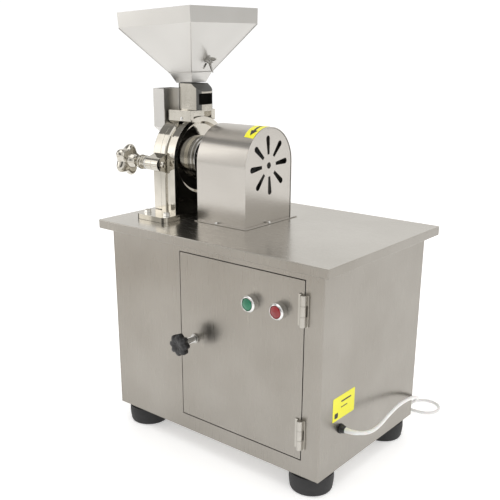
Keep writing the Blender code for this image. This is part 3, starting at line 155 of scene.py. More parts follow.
def circle_outline(radius, steps=16):
    """Round section of a tube: radius times the cosine and sine of evenly spaced angles."""
    angle = tau * np.arange(steps) / steps
    return radius * np.stack([np.cos(angle), np.sin(angle)], -1)


def middle(node):
    """Middle of a CAD node's box."""
    low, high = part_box(node)
    return (np.array(low) + np.array(high)) / 2


print("helpers ready")

# %% [markdown]
# ## Rounding the edges of machined and folded parts
# No edge on a real part is perfectly sharp: sheet is folded over a radius, castings are
# polished by hand. A copy of the CAD sub-part gets a Bevel modifier, so that each edge
# catches the light, and stands in for the plain one.

# %% Softened copies
def softened(node, width, look, body, segments=2, angle=28):
    """Copy of a CAD sub-part with its faces merged and its edges rounded to a radius."""
    mesh = NODES[node].data.copy()
    if "custom_normal" in mesh.attributes:
        mesh.attributes.remove(mesh.attributes["custom_normal"])
    work = bmesh.new()
    work.from_mesh(mesh)
    bmesh.ops.remove_doubles(work, verts=work.verts, dist=3e-6)
    bmesh.ops.dissolve_limit(work, angle_limit=radians(0.6), verts=work.verts, edges=work.edges)
    work.to_mesh(mesh)
    work.free()
    mesh.shade_smooth()
    mesh.materials.clear()
    mesh.materials.append(look)
    made = bpy.data.objects.new(f"{node}_finished", mesh)
    bpy.context.scene.collection.objects.link(made)
    bevel = made.modifiers.new("rounded edges", "BEVEL")
    bevel.width = width
    bevel.segments = segments
    bevel.limit_method = "ANGLE"
    bevel.angle_limit = radians(angle)
    bevel.harden_normals = True
    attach(made, body)
    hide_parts(node)
    return made


def shade_inside_faces(made, look, node, depth):
    """Give the faces deeper than a depth inside a sub-part's box, along X and Y, another finish: here the
    painted shade of a hollow's inside.
    """
    low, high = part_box(node)
    made.data.materials.append(look)
    for face in made.data.polygons:
        x, y, _ = face.center
        if min(x - low.x, high.x - x, y - low.y, high.y - y) > depth:
            face.material_index = 1


def dressed(look, *nodes):
    """Give CAD sub-parts that keep their own shape a finish."""
    for node in nodes:
        NODES[node].data.materials.clear()
        NODES[node].data.materials.append(look)


# %% [markdown]
# ## Steel, cast iron, rubber and plastic
# Stainless steel is one metal with several finishes. What tells them apart is how rough the
# surface is and which way it was worked, so each finish is a metallic shader whose roughness
# and fine relief come from noise: drawn out in one direction for brushed sheet, even for
# blasted or cast metal. The pattern reads the piece's own metres, so it never slides.

# %% Helpers for materials
def put(tree, kind, values=(), **settings):
    """Add a shader node, set its inputs by name and its settings by attribute."""
    made = tree.nodes.new(kind)
    for key, value in settings.items():
        setattr(made, key, value)
    for key, value in dict(values).items():
        made.inputs[key].default_value = value
    return made


def noise(tree, scale, stretch=(1, 1, 1), detail=3.0):
    """Noise in the piece's own metres, drawn out along the axes whose stretch is small."""
    place = put(tree, "ShaderNodeTexCoord")
    draw = put(tree, "ShaderNodeMapping", {"Scale": stretch})
    field = put(tree, "ShaderNodeTexNoise", {"Scale": scale, "Detail": detail, "Roughness": 0.6})
    tree.links.new(place.outputs["Object"], draw.inputs["Vector"])
    tree.links.new(draw.outputs["Vector"], field.inputs["Vector"])
    return field.outputs["Fac"]


def spread(tree, field, low, high):
    """Map a noise field's middle range to the range from low to high."""
    made = put(tree, "ShaderNodeMapRange", {"From Min": 0.3, "From Max": 0.7, "To Min": low, "To Max": high})
    tree.links.new(field, made.inputs["Value"])
    return made.outputs["Result"]


def tint(tree, field, dark, light):
    """Colour between two tones, after a field."""
    made = put(tree, "ShaderNodeValToRGB")
    made.color_ramp.elements[0].position = 0.3
    made.color_ramp.elements[1].position = 0.7
    made.color_ramp.elements[0].color = (*dark, 1)
    made.color_ramp.elements[1].color = (*light, 1)
    tree.links.new(field, made.inputs["Fac"])
    return made.outputs["Color"]


def finish_look(name, metallic, dark, light, rough, grain, depth, stretch=(1, 1, 1), cloud=6.0, **extra):
    """A finish: its colour drifts between two tones in large soft clouds, its roughness follows
    the fine grain, and the same grain lifts the surface by the given depth in metres."""
    look = bpy.data.materials.new(name)
    look.use_nodes = True
    tree = look.node_tree
    shader = tree.nodes["Principled BSDF"]
    shader.inputs["Metallic"].default_value = metallic
    for key, value in extra.items():
        shader.inputs[key.replace("_", " ")].default_value = value
    fine = noise(tree, grain, stretch)
    tree.links.new(tint(tree, noise(tree, cloud, detail=2.0), dark, light), shader.inputs["Base Color"])
    tree.links.new(spread(tree, fine, rough[0], rough[1]), shader.inputs["Roughness"])
    relief = put(tree, "ShaderNodeBump", {"Strength": 1.0, "Distance": depth})
    tree.links.new(fine, relief.inputs["Height"])
    tree.links.new(relief.outputs["Normal"], shader.inputs["Normal"])
    return look


# %% The finishes
UPRIGHT = (1.0, 1.0, 0.02)      # brushed along Z
LENGTHWISE = (0.02, 1.0, 1.0)   # brushed along X
PANEL_STEEL = finish_look("panel_steel", 1, (0.305, 0.285, 0.255), (0.355, 0.335, 0.305),
                          (0.26, 0.34), 900, 1.5e-5, UPRIGHT)
TOP_STEEL = finish_look("top_steel", 1, (0.52, 0.50, 0.46), (0.58, 0.56, 0.52),
                        (0.20, 0.28), 900, 1.2e-5, LENGTHWISE)
GUARD_STEEL = finish_look("guard_steel", 1, (0.50, 0.475, 0.44), (0.56, 0.535, 0.50),
                          (0.20, 0.26), 900, 1.2e-5, LENGTHWISE)
HINGE_STEEL = finish_look("hinge_steel", 1, (0.44, 0.42, 0.38), (0.52, 0.50, 0.46),
                          (0.28, 0.38), 900, 1.2e-5, UPRIGHT)
HOPPER_STEEL = finish_look("hopper_steel", 1, (0.52, 0.51, 0.49), (0.58, 0.57, 0.55),
                           (0.28, 0.34), 700, 1.2e-5)
POLISHED = finish_look("polished_casting", 1, (0.44, 0.42, 0.37), (0.62, 0.59, 0.53),
                       (0.05, 0.11), 120, 6e-5, cloud=14.0)
# Polished steel with a darker colour: painted shade for the bearing hub, which stands in the guard's shadow.
POLISH_IN_PAINTED_SHADE = finish_look("polished_casting_painted_shade", 1, (0.24, 0.235, 0.225), (0.36, 0.35, 0.33),
                            (0.06, 0.12), 120, 4e-5, cloud=20.0)
# Rougher steel whose dark colour is painted shade, for the faces inside the throat and the guard's arch.
INSIDE_PAINTED_SHADE = finish_look("rough_inside_painted_shade", 1, (0.11, 0.11, 0.105), (0.17, 0.17, 0.165),
                         (0.4, 0.55), 500, 3e-5)
BRIGHT = finish_look("bright_plating", 1, (0.72, 0.72, 0.71), (0.80, 0.80, 0.79), (0.04, 0.09), 300, 1e-5)
MACHINED = finish_look("machined_steel", 1, (0.42, 0.41, 0.39), (0.52, 0.51, 0.49),
                       (0.24, 0.38), 1400, 1.5e-5, LENGTHWISE)
IRON = finish_look("cast_iron", 1, (0.16, 0.165, 0.17), (0.24, 0.245, 0.25), (0.45, 0.65), 500, 1.2e-4)
MOTOR_BLUE = finish_look("motor_paint", 0, (0.10, 0.16, 0.22), (0.14, 0.21, 0.28),
                         (0.34, 0.48), 350, 5e-5, Coat_Weight=0.2)
RUBBER = finish_look("foot_rubber", 0, (0.012, 0.012, 0.013), (0.026, 0.026, 0.027),
                     (0.55, 0.75), 600, 8e-5)
KNOB_BLACK = finish_look("knob_plastic", 0, (0.008, 0.008, 0.009), (0.016, 0.016, 0.017),
                         (0.30, 0.42), 800, 3e-5)
LEAD_WHITE = finish_look("lead_vinyl", 0, (0.80, 0.80, 0.79), (0.88, 0.88, 0.87),
                         (0.34, 0.44), 500, 1e-5, Subsurface_Weight=0.05, Subsurface_Scale=0.002)
GREEN_CAP = finish_look("green_cap", 0, (0.0, 0.14, 0.065), (0.0, 0.20, 0.095),
                        (0.16, 0.24), 400, 1e-5, cloud=60.0, Coat_Weight=0.5)
RED_CAP = finish_look("red_cap", 0, (0.24, 0.002, 0.006), (0.34, 0.004, 0.010),
                      (0.16, 0.24), 400, 1e-5, cloud=60.0, Coat_Weight=0.5)
LABEL_YELLOW = finish_look("label_yellow", 0, (0.86, 0.82, 0.02), (0.92, 0.88, 0.04), (0.35, 0.45), 300, 4e-6)
PRINT_BLACK = finish_look("print_black", 0, (0.012, 0.012, 0.012), (0.02, 0.02, 0.02), (0.4, 0.5), 300, 4e-6)
print("finishes ready")

# %% [markdown]
# ## The mains lead
# A white two-core lead leaves the right side low down, runs back along the panel, drops behind
# the machine, makes one loose turn on the floor and ends in a neat coil with its plug beside
# it. A lead has a real length, so the open stretch is a smooth curve through given points,
# and the rest is wound into turns that lie beside and on each other.

# %% The lead's route
LEAD_RADIUS = 0.0035
ROUTE = np.array((
    (0.2735, -0.0865, 0.1195), (0.2790, -0.0865, 0.1195), (0.2909, -0.0841, 0.1195),
    (0.3009, -0.0774, 0.1194), (0.3076, -0.0674, 0.1192), (0.3100, -0.0555, 0.1188),
    (0.3080, -0.0285, 0.1175), (0.2985, 0.0215, 0.1150), (0.2900, 0.0715, 0.1110),
    (0.2835, 0.1215, 0.1030), (0.2770, 0.1675, 0.0890), (0.2640, 0.2075, 0.0680),
    (0.2430, 0.2415, 0.0420), (0.2200, 0.2685, 0.0190), (0.2100, 0.2855, 0.0090),
    (0.2068, 0.3025, 0.0046), (0.2110, 0.3181, 0.0036), (0.2223, 0.3295, 0.0036),
    (0.2380, 0.3337, 0.0036), (0.2535, 0.3295, 0.0036), (0.2648, 0.3181, 0.0036),
    (0.2690, 0.3025, 0.0036), (0.2648, 0.2870, 0.0036), (0.2535, 0.2757, 0.0036),
    (0.2380, 0.2715, 0.0036), (0.2100, 0.2715, 0.0036), (0.1800, 0.2795, 0.0036),
    (0.1500, 0.2975, 0.0036), (0.1200, 0.3160, 0.0036), (0.0900, 0.3250, 0.0036),
    (0.0690, 0.3264, 0.0036)))


def smooth_path(points, each=12):
    """Catmull-Rom curve: between two points the place is a cubic of the four nearest ones, so
    that it passes through each of them without a corner."""
    ends = np.concatenate([[2 * points[0] - points[1]], points, [2 * points[-1] - points[-2]]])
    t = (np.arange(each) / each)[None, :, None]
    before, start, end, after = (ends[k:len(ends) - 3 + k][:, None] for k in range(4))
    curve = 0.5 * (2 * start + (end - before) * t + (2 * before - 5 * start + 4 * end - after) * t ** 2
                   + (3 * start - before - 3 * end + after) * t ** 3)
    return np.concatenate([curve.reshape(-1, 3), points[-1:]])


# %% [markdown]
# The coil's turns are worked out from the angle alone: about three and a half turns in two
# layers. The lead comes in from outside, fills the lower layer from its outer turn to its inner
# one, climbs, and fills the upper layer from the inside out, ending where the plug starts.

# %% The coil and the whole lead
COIL_LOW, COIL_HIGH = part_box("cord_coil")
COIL_MIDDLE = (np.array(COIL_LOW) + np.array(COIL_HIGH)) / 2
COIL_OUTER = (COIL_HIGH.x - COIL_LOW.x) / 2
PLUG_START = np.array((0.052, 0.2212, 0.012))


def coil_path():
    """Turns about the coil's middle. The radius and the height each follow the angle by
    straight steps between a few stations, and are then averaged over a third of a turn."""
    outer = COIL_OUTER - LEAD_RADIUS - 0.0009
    inner = outer - 0.0076
    start = np.degrees(np.arctan2(*(ROUTE[-1, :2] - COIL_MIDDLE[:2])[::-1]))
    end = 270 + 3 * 360
    degrees = np.arange(start + 6, end - 4, 6)
    lead_in, lead_out = np.linalg.norm(ROUTE[-1, :2] - COIL_MIDDLE[:2]), COIL_MIDDLE[1] - PLUG_START[1]
    stations = start + np.array([0, 100, 300, 400, 700, 800, 1080, 1130, end - start])
    reaches = [lead_in, outer, outer, inner, inner, inner, outer, outer, lead_out]
    radius = np.interp(degrees, stations, reaches)
    low, high = ROUTE[-1, 2], COIL_LOW.z + 3.15 * LEAD_RADIUS
    height = np.interp(degrees, stations[[0, 4, 5, 7, 8]], [low, low, high, high, PLUG_START[2]])
    blend = np.ones(9) / 9
    radius[4:-4] = np.convolve(radius, blend, "valid")
    height[4:-4] = np.convolve(height, blend, "valid")
    turn = np.radians(degrees)
    return np.stack([COIL_MIDDLE[0] + radius * np.cos(turn),
                     COIL_MIDDLE[1] + radius * np.sin(turn), height], -1)


def evenly(points, spacing):
    """The same path with its points a set distance apart, then relaxed: each inner point moves
    to the average of itself and its neighbours, a few times."""
    travelled = np.concatenate([[0], np.cumsum(np.linalg.norm(np.diff(points, axis=0), axis=1))])
    wanted = np.linspace(0, travelled[-1], int(travelled[-1] / spacing) + 1)
    even = np.stack([np.interp(wanted, travelled, points[:, k]) for k in range(3)], -1)
    for _ in range(4):
        even[1:-1] = 0.25 * even[:-2] + 0.5 * even[1:-1] + 0.25 * even[2:]
    return even


lead_path = evenly(np.concatenate([smooth_path(ROUTE), coil_path(), PLUG_START[None]]), 0.0035)
lead = swept("mains_lead", lead_path, circle_outline(LEAD_RADIUS, 14), LEAD_WHITE, "machine", smooth=60)
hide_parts("power_cord", "cord_coil")

# %% [markdown]
# The plug is moulded onto the lead: a ribbed sleeve that keeps the lead from kinking, a
# grip that is rounded like a bar of soap, and two round pins. Where the lead leaves the panel
# it passes a black gland and a short white sleeve that tapers along its first bend.

# %% Plug, sleeve and gland
def tapered_along(name, path, radii, look, steps=18, flatten=1.0):
    """Tube along a path whose radius changes from point to point; its ends are closed."""
    path = np.array(path, float)
    ahead = np.gradient(path, axis=0)
    ahead /= np.linalg.norm(ahead, axis=1)[:, None]
    across = np.cross(ahead, (0, 0, 1))
    across /= np.linalg.norm(across, axis=1)[:, None]
    over = np.cross(across, ahead)
    ring = circle_outline(1.0, steps)
    reach = np.array(radii, float)[:, None, None]
    points = path[:, None] + reach * (ring[None, :, :1] * across[:, None]
                                      + flatten * ring[None, :, 1:] * over[:, None])
    points = np.concatenate([np.repeat(path[:1, None], steps, 1), points,
                             np.repeat(path[-1:, None], steps, 1)])
    return piece_from(name, points, grid_quads(len(points), steps, True), look, "machine", 40)


def build_plug():
    """The plug's outline along its axis: ribs on the sleeve, then a grip whose section is a
    superellipse, (|cos|^0.6, |sin|^0.6) times its half sizes."""
    turn = radians(-10)
    forward = np.array((cos(turn), sin(turn), 0))
    side = np.array((-sin(turn), cos(turn), 0))
    ribbed_length, rib_pitch = 0.022, 0.0037
    along = np.concatenate([np.linspace(0, ribbed_length, 34), np.linspace(0.0235, 0.0595, 22)])
    sleeve = (0.0040 + 0.0022 * along / ribbed_length
              + 0.0004 * np.sign(np.sin(along * tau / rib_pitch)))
    grip = (np.clip((along - ribbed_length) / 0.006, 0, 1) ** 0.5
            * np.clip((0.0600 - along) / 0.003, 0, 1) ** 0.4)
    wide = np.where(along < 0.0225, sleeve, 0.0062 + 0.0053 * grip)
    tall = np.where(along < 0.0225, sleeve, 0.0062 + 0.0050 * grip)
    angle = tau * np.arange(28) / 28
    power = np.where(along < 0.0225, 1.0, 0.62)[:, None]
    ring_side = np.sign(np.cos(angle)) * np.abs(np.cos(angle)) ** power
    ring_rise = np.sign(np.sin(angle)) * np.abs(np.sin(angle)) ** power
    points = (PLUG_START + along[:, None, None] * forward + (wide[:, None] * ring_side)[..., None] * side
              + (tall[:, None] * ring_rise)[..., None] * np.array((0, 0, 1)))
    ends = [np.repeat((PLUG_START + a * forward)[None, None], 28, 1) for a in (along[0], along[-1])]
    points = np.concatenate([ends[0], points, ends[1]])
    plug = piece_from("plug_body", points, grid_quads(len(points), 28, True), LEAD_WHITE, "machine", 40)
    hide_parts("mains_plug")
    pins = []
    for number, offset in enumerate((-0.0065, 0.0065)):
        start = PLUG_START + offset * side
        reach = np.array([0.0585, 0.0600, 0.0770, 0.0782, 0.0788])[:, None]
        pin = tapered_along(f"plug_pin_{number + 1}", start + reach * forward,
                            [0.0023, 0.0023, 0.0023, 0.0018, 0.0008], BRIGHT, 16)
        pins.append(pin)
    return [plug, *pins]


plug_pieces = build_plug()
exit_path = lead_path[:8]
sleeve_radii = np.interp(np.linspace(0, 1, 8), [0, 0.8, 1], [0.0052, 0.0042, 0.0037])
sleeve = tapered_along("lead_sleeve", exit_path, sleeve_radii, LEAD_WHITE)
gland_low, gland_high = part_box("cable_gland")
panel_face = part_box("cabinet_right")[1].x
gland_middle = (panel_face, middle("cable_gland")[1], middle("cable_gland")[2])
gland_reach, gland_radius = gland_high.x - panel_face, (gland_high.y - gland_low.y) / 2
gland_profile = [(-0.006, 0.0042), (-0.006, gland_radius - 0.0025), (0.0003, gland_radius - 0.0025),
                 (0.0003, gland_radius), (0.0022, gland_radius), (0.0028, gland_radius - 0.0012),
                 (gland_reach - 0.003, gland_radius - 0.0018),
                 (gland_reach - 0.0008, gland_radius - 0.0030),
                 (gland_reach, gland_radius - 0.0040), (gland_reach, 0.0053), (0.0003, 0.0053)]
gland = turned("gland_body", gland_profile, "X", gland_middle, KNOB_BLACK, "machine", 36)
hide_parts("cable_gland")
print("plug and gland ready")

# %% [markdown]
# ## The cabinet
# The cabinet is folded from sheet, and the top is a thicker-looking tray with its edges turned
# down. The panels keep their CAD shapes with brushed finishes. The front, the door and the top
# get rounded folds, since their edges are the brightest lines on the machine. The top's upright
# edges take the panels' darker colour as painted shade, standing in for the dim floor they mirror.

# %% Panels, door and top
dressed(PANEL_STEEL, "cabinet_back", "cabinet_left", "cabinet_right", "cabinet_floor")
dressed(HOPPER_STEEL, "discharge_chute", "drawer")
for node, width, look, body in (("cabinet_front", 0.0006, PANEL_STEEL, "machine"),
                                ("door", 0.0006, PANEL_STEEL, "door"),
                                ("table_top", 0.0016, TOP_STEEL, "machine")):
    made = softened(node, width, look, body, segments=3)
    if node == "table_top":
        # Upright faces of the top take the darker panel colour: painted shade for the dim floor they mirror.
        made.data.materials.append(PANEL_STEEL)
        for face in made.data.polygons:
            face.material_index = int(abs(face.normal.z) < 0.5)
    print(node, "softened")

# %% [markdown]
# The corners of the cabinet are vertical folds of about 2 mm radius. A narrow curved strip
# over each front corner shows that fold where the two flat CAD panels only butt.

# %% Corner folds
front_low, front_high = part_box("cabinet_front")


def corner_fold(name, x, side):
    """Upright strip with the section of a quarter circle: it runs from the front face round to
    the side face, a fifth of a millimetre proud of both, and is closed behind."""
    radius = 0.0022
    angle = np.linspace(0, pi / 2, 7)
    arc_x = x - side * radius + side * (radius + 0.0002) * np.sin(angle)
    arc_y = front_low.y + radius - (radius + 0.0002) * np.cos(angle)
    back_x, back_y = x - side * radius, front_low.y + radius
    outline = np.stack([np.append(arc_x, back_x), np.append(arc_y, back_y)], -1)
    levels = np.array([front_low.z, front_low.z, front_high.z, front_high.z])
    centre = outline.mean(0)
    size = np.array([0.0, 1.0, 1.0, 0.0])[:, None, None]
    flat = centre + size * (outline[None] - centre)
    points = np.concatenate([flat, np.broadcast_to(levels[:, None, None], (4, len(outline), 1))], -1)
    made = piece_from(name, points, grid_quads(4, len(outline), True), PANEL_STEEL, "machine", 30)


corner_fold("fold_left", front_low.x, -1)
corner_fold("fold_right", front_high.x, 1)
print("corner folds ready")

# %% [markdown]
# ## Rubber feet
# Each foot is a moulded rubber pad: a bulged side, a narrow groove under the cabinet, and a
# ring-shaped groove in its tread. It is turned from one profile.

# %% Feet
def build_foot(node):
    """Turned profile: tread, bulged side (a shallow sine along its height), groove and top."""
    low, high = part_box(node)
    centre = middle(node)
    radius, height = (high.x - low.x) / 2, high.z - low.z
    level = np.linspace(0.004, height - 0.0045, 12)
    side = radius - 0.0022 + 0.0021 * np.sin(pi * (level - 0.004) / height)
    profile = [(0, 0), (0, 0.012), (0.002, 0.013), (0.002, 0.022), (0, 0.023), (0, radius - 0.006),
               (0.0012, radius - 0.0035), *zip(level, side), (height - 0.0032, radius - 0.0040),
               (height - 0.0018, radius - 0.0040), (height - 0.0012, radius - 0.0026),
               (height, radius - 0.0030), (height, 0)]
    foot = turned(f"{node}_pad", profile, "Z", (centre[0], centre[1], low.z), RUBBER, "machine", 56)
    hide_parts(node)


for node in ("foot_front_left", "foot_front_right", "foot_rear_left", "foot_rear_right"):
    build_foot(node)
print("feet ready")

# %% [markdown]
# ## Door furniture
# The hinges are barrel hinges with a leaf on each side. The knob is a moulded star grip: its
# radius swells with eight lobes, and its front is slightly hollow round the middle. The push
# buttons are the usual 22 mm kind: a plated ring with fine flutes and a domed coloured cap.

# %% Hinges, knob and stem
for level in ("lower", "upper"):
    for half, body in (("fixed", "machine"), ("moving", "door")):
        made = softened(f"hinge_{level}_{half}", 0.0004, HINGE_STEEL, body)
knob_low, knob_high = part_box("door_knob")
knob_middle = middle("door_knob")
knob_radius, knob_depth = (knob_high.x - knob_low.x) / 2, knob_high.y - knob_low.y


def star_swell(lobes, depth, power=1.0):
    """Share of the radius left at each angle: 1 at a lobe's crest and 1 - depth in a valley.
    Valleys are sharper than crests where the power is over 1."""
    return lambda angle, radius: 1 - depth * ((1 - np.cos(lobes * angle)) / 2) ** power * np.ones_like(radius)


knob_profile = [(knob_depth, 0), (knob_depth, 0.0070), (knob_depth - 0.0015, knob_radius - 0.0035),
                (knob_depth - 0.0040, knob_radius - 0.0006), (0.0060, knob_radius),
                (0.0035, knob_radius - 0.0008), (0.0012, knob_radius - 0.0032),
                (0.0002, knob_radius - 0.0065), (0.0006, 0.0080), (0.0018, 0.0060), (0.0018, 0)]
knob = turned("star_knob", knob_profile, "Y", (knob_middle[0], knob_low.y, knob_middle[2]),
              KNOB_BLACK, "latch", 96, star_swell(8, 0.20, 1.4), 50)
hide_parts("door_knob")
dressed(MACHINED, "latch_stem")
thread_turns = np.linspace(knob_high.y + 0.0004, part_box("door")[0].y - 0.0038, 72)
thread = [(y, 0.0052 + 0.0005 * (-1) ** n) for n, y in enumerate(thread_turns)]
stem_thread = turned("stem_thread", [(thread_turns[0], 0.0046), *thread, (thread_turns[-1], 0.0046)],
                     "Y", (knob_middle[0], 0, knob_middle[2]), BRIGHT, "latch", 28)
print("knob radius", round(knob_radius, 4))

# %% Push buttons
door_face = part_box("door")[0].y


def build_push_button(colour, look):
    """Plated ring with flutes round its side, and a cap whose dome is part of a sphere."""
    low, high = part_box(f"{colour}_bezel")
    centre = middle(f"{colour}_bezel")
    radius, bore = (high.x - low.x) / 2, 0.01085

    def flutes(angle, reach):
        """Thirty-six shallow grooves, only where the radius is that of the ring's side."""
        return 1 - 0.025 * (np.cos(36 * angle) > 0.2) * (reach > 0.0132)

    ring_profile = [(high.y, bore), (low.y + 0.0012, bore), (low.y, bore + 0.0009),
                    (low.y, radius - 0.0030), (low.y + 0.0008, radius - 0.0016),
                    (low.y + 0.0026, radius - 0.0006), (low.y + 0.0030, radius),
                    (door_face - 0.0006, radius), (door_face - 0.0003, radius - 0.0003),
                    (door_face - 0.0003, bore + 0.0004), (high.y, bore + 0.0004)]
    ring = turned(f"{colour}_ring", ring_profile, "Y", (centre[0], 0, centre[2]), BRIGHT, "door",
                  144, flutes, 40)
    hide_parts(f"{colour}_bezel")
    cap_low, cap_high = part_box(f"{colour}_button")
    reach = (cap_high.x - cap_low.x) / 2
    dome = [(cap_low.y + 0.0017 * share ** 2, (reach - 0.0012) * share)
            for share in np.linspace(0.02, 1, 10)]
    cap_profile = [(cap_low.y, 0), *dome, (cap_low.y + 0.0024, reach - 0.0004),
                   (cap_low.y + 0.0034, reach), (door_face - 0.0015, reach),
                   (door_face - 0.0015, 0.006), (cap_high.y, 0.006), (cap_high.y, 0)]
    cap = turned(f"{colour}_cap", cap_profile, "Y", (centre[0], 0, centre[2]), look,
                 f"{colour}_button", 64)
    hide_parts(f"{colour}_button")


build_push_button("green", GREEN_CAP)
build_push_button("red", RED_CAP)
print("buttons ready")

# %% [markdown]
# ## The mill
# The mill is cast stainless steel, ground and polished by hand, so its edges are soft and it
# mirrors the room. The housing, its cover, the block and the throat keep their CAD shapes with
# rounded edges. The bearing hub is turned again with a full, domed shape, and its polish is darker: painted
# shade, as it stands in the guard's shadow.
# The throat is polished outside only, so the faces inside it are rougher, and darker as painted shade.

# %% Castings
for node, width, body in (("mill_housing", 0.0016, "machine"), ("mill_cover", 0.0014, "cover"),
                          ("feed_block", 0.0012, "machine"), ("feed_throat", 0.0005, "machine"),
                          ("cover_duct", 0.0004, "cover")):
    made = softened(node, width, POLISHED if node != "cover_duct" else HOPPER_STEEL, body, segments=3)
    if node == "feed_throat":
        shade_inside_faces(made, INSIDE_PAINTED_SHADE, node, 0.0012)
hub_low, hub_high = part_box("bearing_housing")
hub_middle = middle("bearing_housing")
hub_length, hub_radius = hub_high.x - hub_low.x, (hub_high.y - hub_low.y) / 2
swing = np.linspace(0, pi / 2, 9)
fillet = np.stack([0.0075 + 0.010 * np.sin(swing), hub_radius - 0.010 * (1 - np.cos(swing))], -1)
nose = np.stack([hub_length - 0.014 + 0.014 * np.sin(swing), 0.0185 + 0.0115 * np.cos(swing)], -1)
hub_profile = [(0, 0.0213), (0, hub_radius), (0.0060, hub_radius), (0.0075, hub_radius - 0.0015),
               *((a, min(r, hub_radius - 0.0015)) for a, r in fillet.tolist()), *nose.tolist(),
               (hub_length, 0.0170), (hub_length - 0.002, 0.0170), (hub_length - 0.002, 0.0213)]
hub = turned("bearing_hub", hub_profile, "X", (hub_low.x, hub_middle[1], hub_middle[2]),
             POLISH_IN_PAINTED_SHADE, "machine", 64)
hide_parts("bearing_housing")
# The shaft takes the dark iron colour as painted shade: its end shows through the end plate's middle hole,
# which should read dark.
dressed(IRON, "rotor_shaft")
dressed(MACHINED, "cover_hinge_pin", "clamp_washer", "rotor", "hammer_1", "hammer_2", "hammer_3",
        "hammer_4", "bearing_front", "bearing_rear", "motor_shaft")
print("hub length", round(hub_length, 4))

# %% [markdown]
# ## The clamp
# The cover is pulled shut by a hand knob on a screw. The knob is a polished casting with five
# ball-like lobes: seen from the end its radius swells five times, and each lobe is rounded
# from front to back as well, so it never shows a flat rim. The spindle has a waist and two rings.

# %% Clamp knob and screw
grip_low, grip_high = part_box("clamp_knob")
grip_middle = middle("clamp_knob")
grip_depth, grip_radius = grip_high.x - grip_low.x, (grip_high.z - grip_low.z) / 2


def clamp_swell(angle, radius):
    """Deep valleys at the rim that fade towards the hub: the depth grows with the radius."""
    depth = 0.25 * np.clip((radius - 0.010) / (grip_radius - 0.010), 0, 1) ** 0.8
    return 1 - depth * ((1 - np.cos(5 * angle)) / 2) ** 1.1


bulge = np.linspace(-pi / 2, pi / 2, 15)
rim = [(0.0125 + 0.0105 * np.sin(b), grip_radius - 0.0125 + 0.0125 * np.cos(b)) for b in bulge[1:-1]]
grip_profile = [(0.0035, 0), (0.0032, 0.006), (0.0020, 0.012), *rim, (grip_depth - 0.0005, 0.0170),
                (grip_depth, 0.0155), (grip_depth, 0)]
grip = turned("clamp_grip", grip_profile, "X", (grip_low.x, grip_middle[1], grip_middle[2]),
              POLISHED, "clamp", 120, clamp_swell, 60)
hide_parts("clamp_knob")
screw_low, screw_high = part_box("clamp_screw")
lug_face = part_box("clamp_washer")[0].x
neck_length = lug_face - screw_low.x
waist = np.linspace(0, 0.62, 10)
neck = [(neck_length * w, 0.0098 + 0.0045 * np.cos(pi * w / 0.62) ** 2) for w in waist]
for ring_start in (0.66, 0.80):
    neck += [(neck_length * (ring_start + a), 0.0098 + 0.0036 * sin(pi * a / 0.10))
             for a in (0, 0.02, 0.05, 0.08, 0.10)]
tip_turns = np.linspace(neck_length + 0.0012, screw_high.x - screw_low.x - 0.0012, 34)
ridges = [(x, 0.00585 - 0.0005 * (n % 2)) for n, x in enumerate(tip_turns)]
spindle_profile = [(0.0002, 0), *[(max(a, 0.0002), r) for a, r in neck], (neck_length * 0.95, 0.0098),
                   (neck_length * 0.95, 0.0132), (neck_length, 0.0132), (neck_length, 0.00585),
                   *ridges, (screw_high.x - screw_low.x, 0.0045), (screw_high.x - screw_low.x, 0)]
screw = turned("clamp_spindle", spindle_profile, "X", (screw_low.x, grip_middle[1], grip_middle[2]),
               POLISHED, "clamp", 40)
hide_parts("clamp_screw")
print("clamp grip radius", round(grip_radius, 4))

# %% [markdown]
# ## Screws and bolts
# Small fasteners tell the eye how big a machine is. A domed head is a part of a sphere on a
# washer; a hexagon head is a turned shape whose radius follows a hexagon's sides,
# radius / cos(angle within its sixth).

# %% Fasteners
def hexagon(angle, radius):
    """Radius of a hexagon as a share of its corner's, at each angle; small radii stay round."""
    within = np.mod(angle, tau / 6) - tau / 12
    flat = cos(tau / 12) / np.cos(within)
    return np.where(radius > 0.0042, flat, 1.0) * np.ones_like(radius)


def domed_screw(name, place, radius, body="machine", look=BRIGHT, axis="Z", side=1):
    """Washer and domed head; the dome is radius * cos against height * sin of one angle."""
    lift = np.linspace(0, pi / 2, 7)
    dome = [(side * (0.0008 + 0.62 * radius * np.sin(a)), radius * np.cos(a)) for a in lift[:-1]]
    profile = [(0, 0), (0, radius * 1.35), (side * 0.0008, radius * 1.35), *dome,
               (side * (0.0008 + 0.62 * radius), 0)]
    made = turned(name, profile, axis, place, look, body, 24)
    return made


for number in range(1, 5):
    node = f"foot_bolt_{number}"
    low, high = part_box(node)
    centre = middle(node)
    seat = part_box("mill_housing")[0].z + 0.0102
    bolt_profile = [(low.z, 0), (low.z, 0.0038), (seat, 0.0038), (seat, 0.0075),
                    (seat + 0.0008, 0.0075), (seat + 0.0009, 0.0066), (high.z - 0.0012, 0.0066),
                    (high.z - 0.0003, 0.0052), (high.z, 0.0040), (high.z, 0)]
    bolt = turned(f"hex_bolt_{number}", bolt_profile, "Z", (centre[0], centre[1], 0), BRIGHT,
                  "machine", 36, hexagon, 20)
    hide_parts(node)
shell_low, shell_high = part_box("guard_shell")
LIP_TOP = shell_low.z + 0.0016
LIP_SCREW_INSET = 0.0048
LIP_SCREW_RADIUS = 0.0028
for end, x, y in (("front", shell_low.x + 0.052, shell_low.y + LIP_SCREW_INSET),
                  ("rear", shell_low.x + 0.052, shell_high.y - LIP_SCREW_INSET),
                  ("end", shell_high.x - LIP_SCREW_INSET, middle("guard_shell")[1] - 0.004)):
    domed_screw(f"lip_screw_{end}", (x, y, LIP_TOP), LIP_SCREW_RADIUS)
cast = np.array([v.co for v in NODES["mill_housing"].data.vertices])
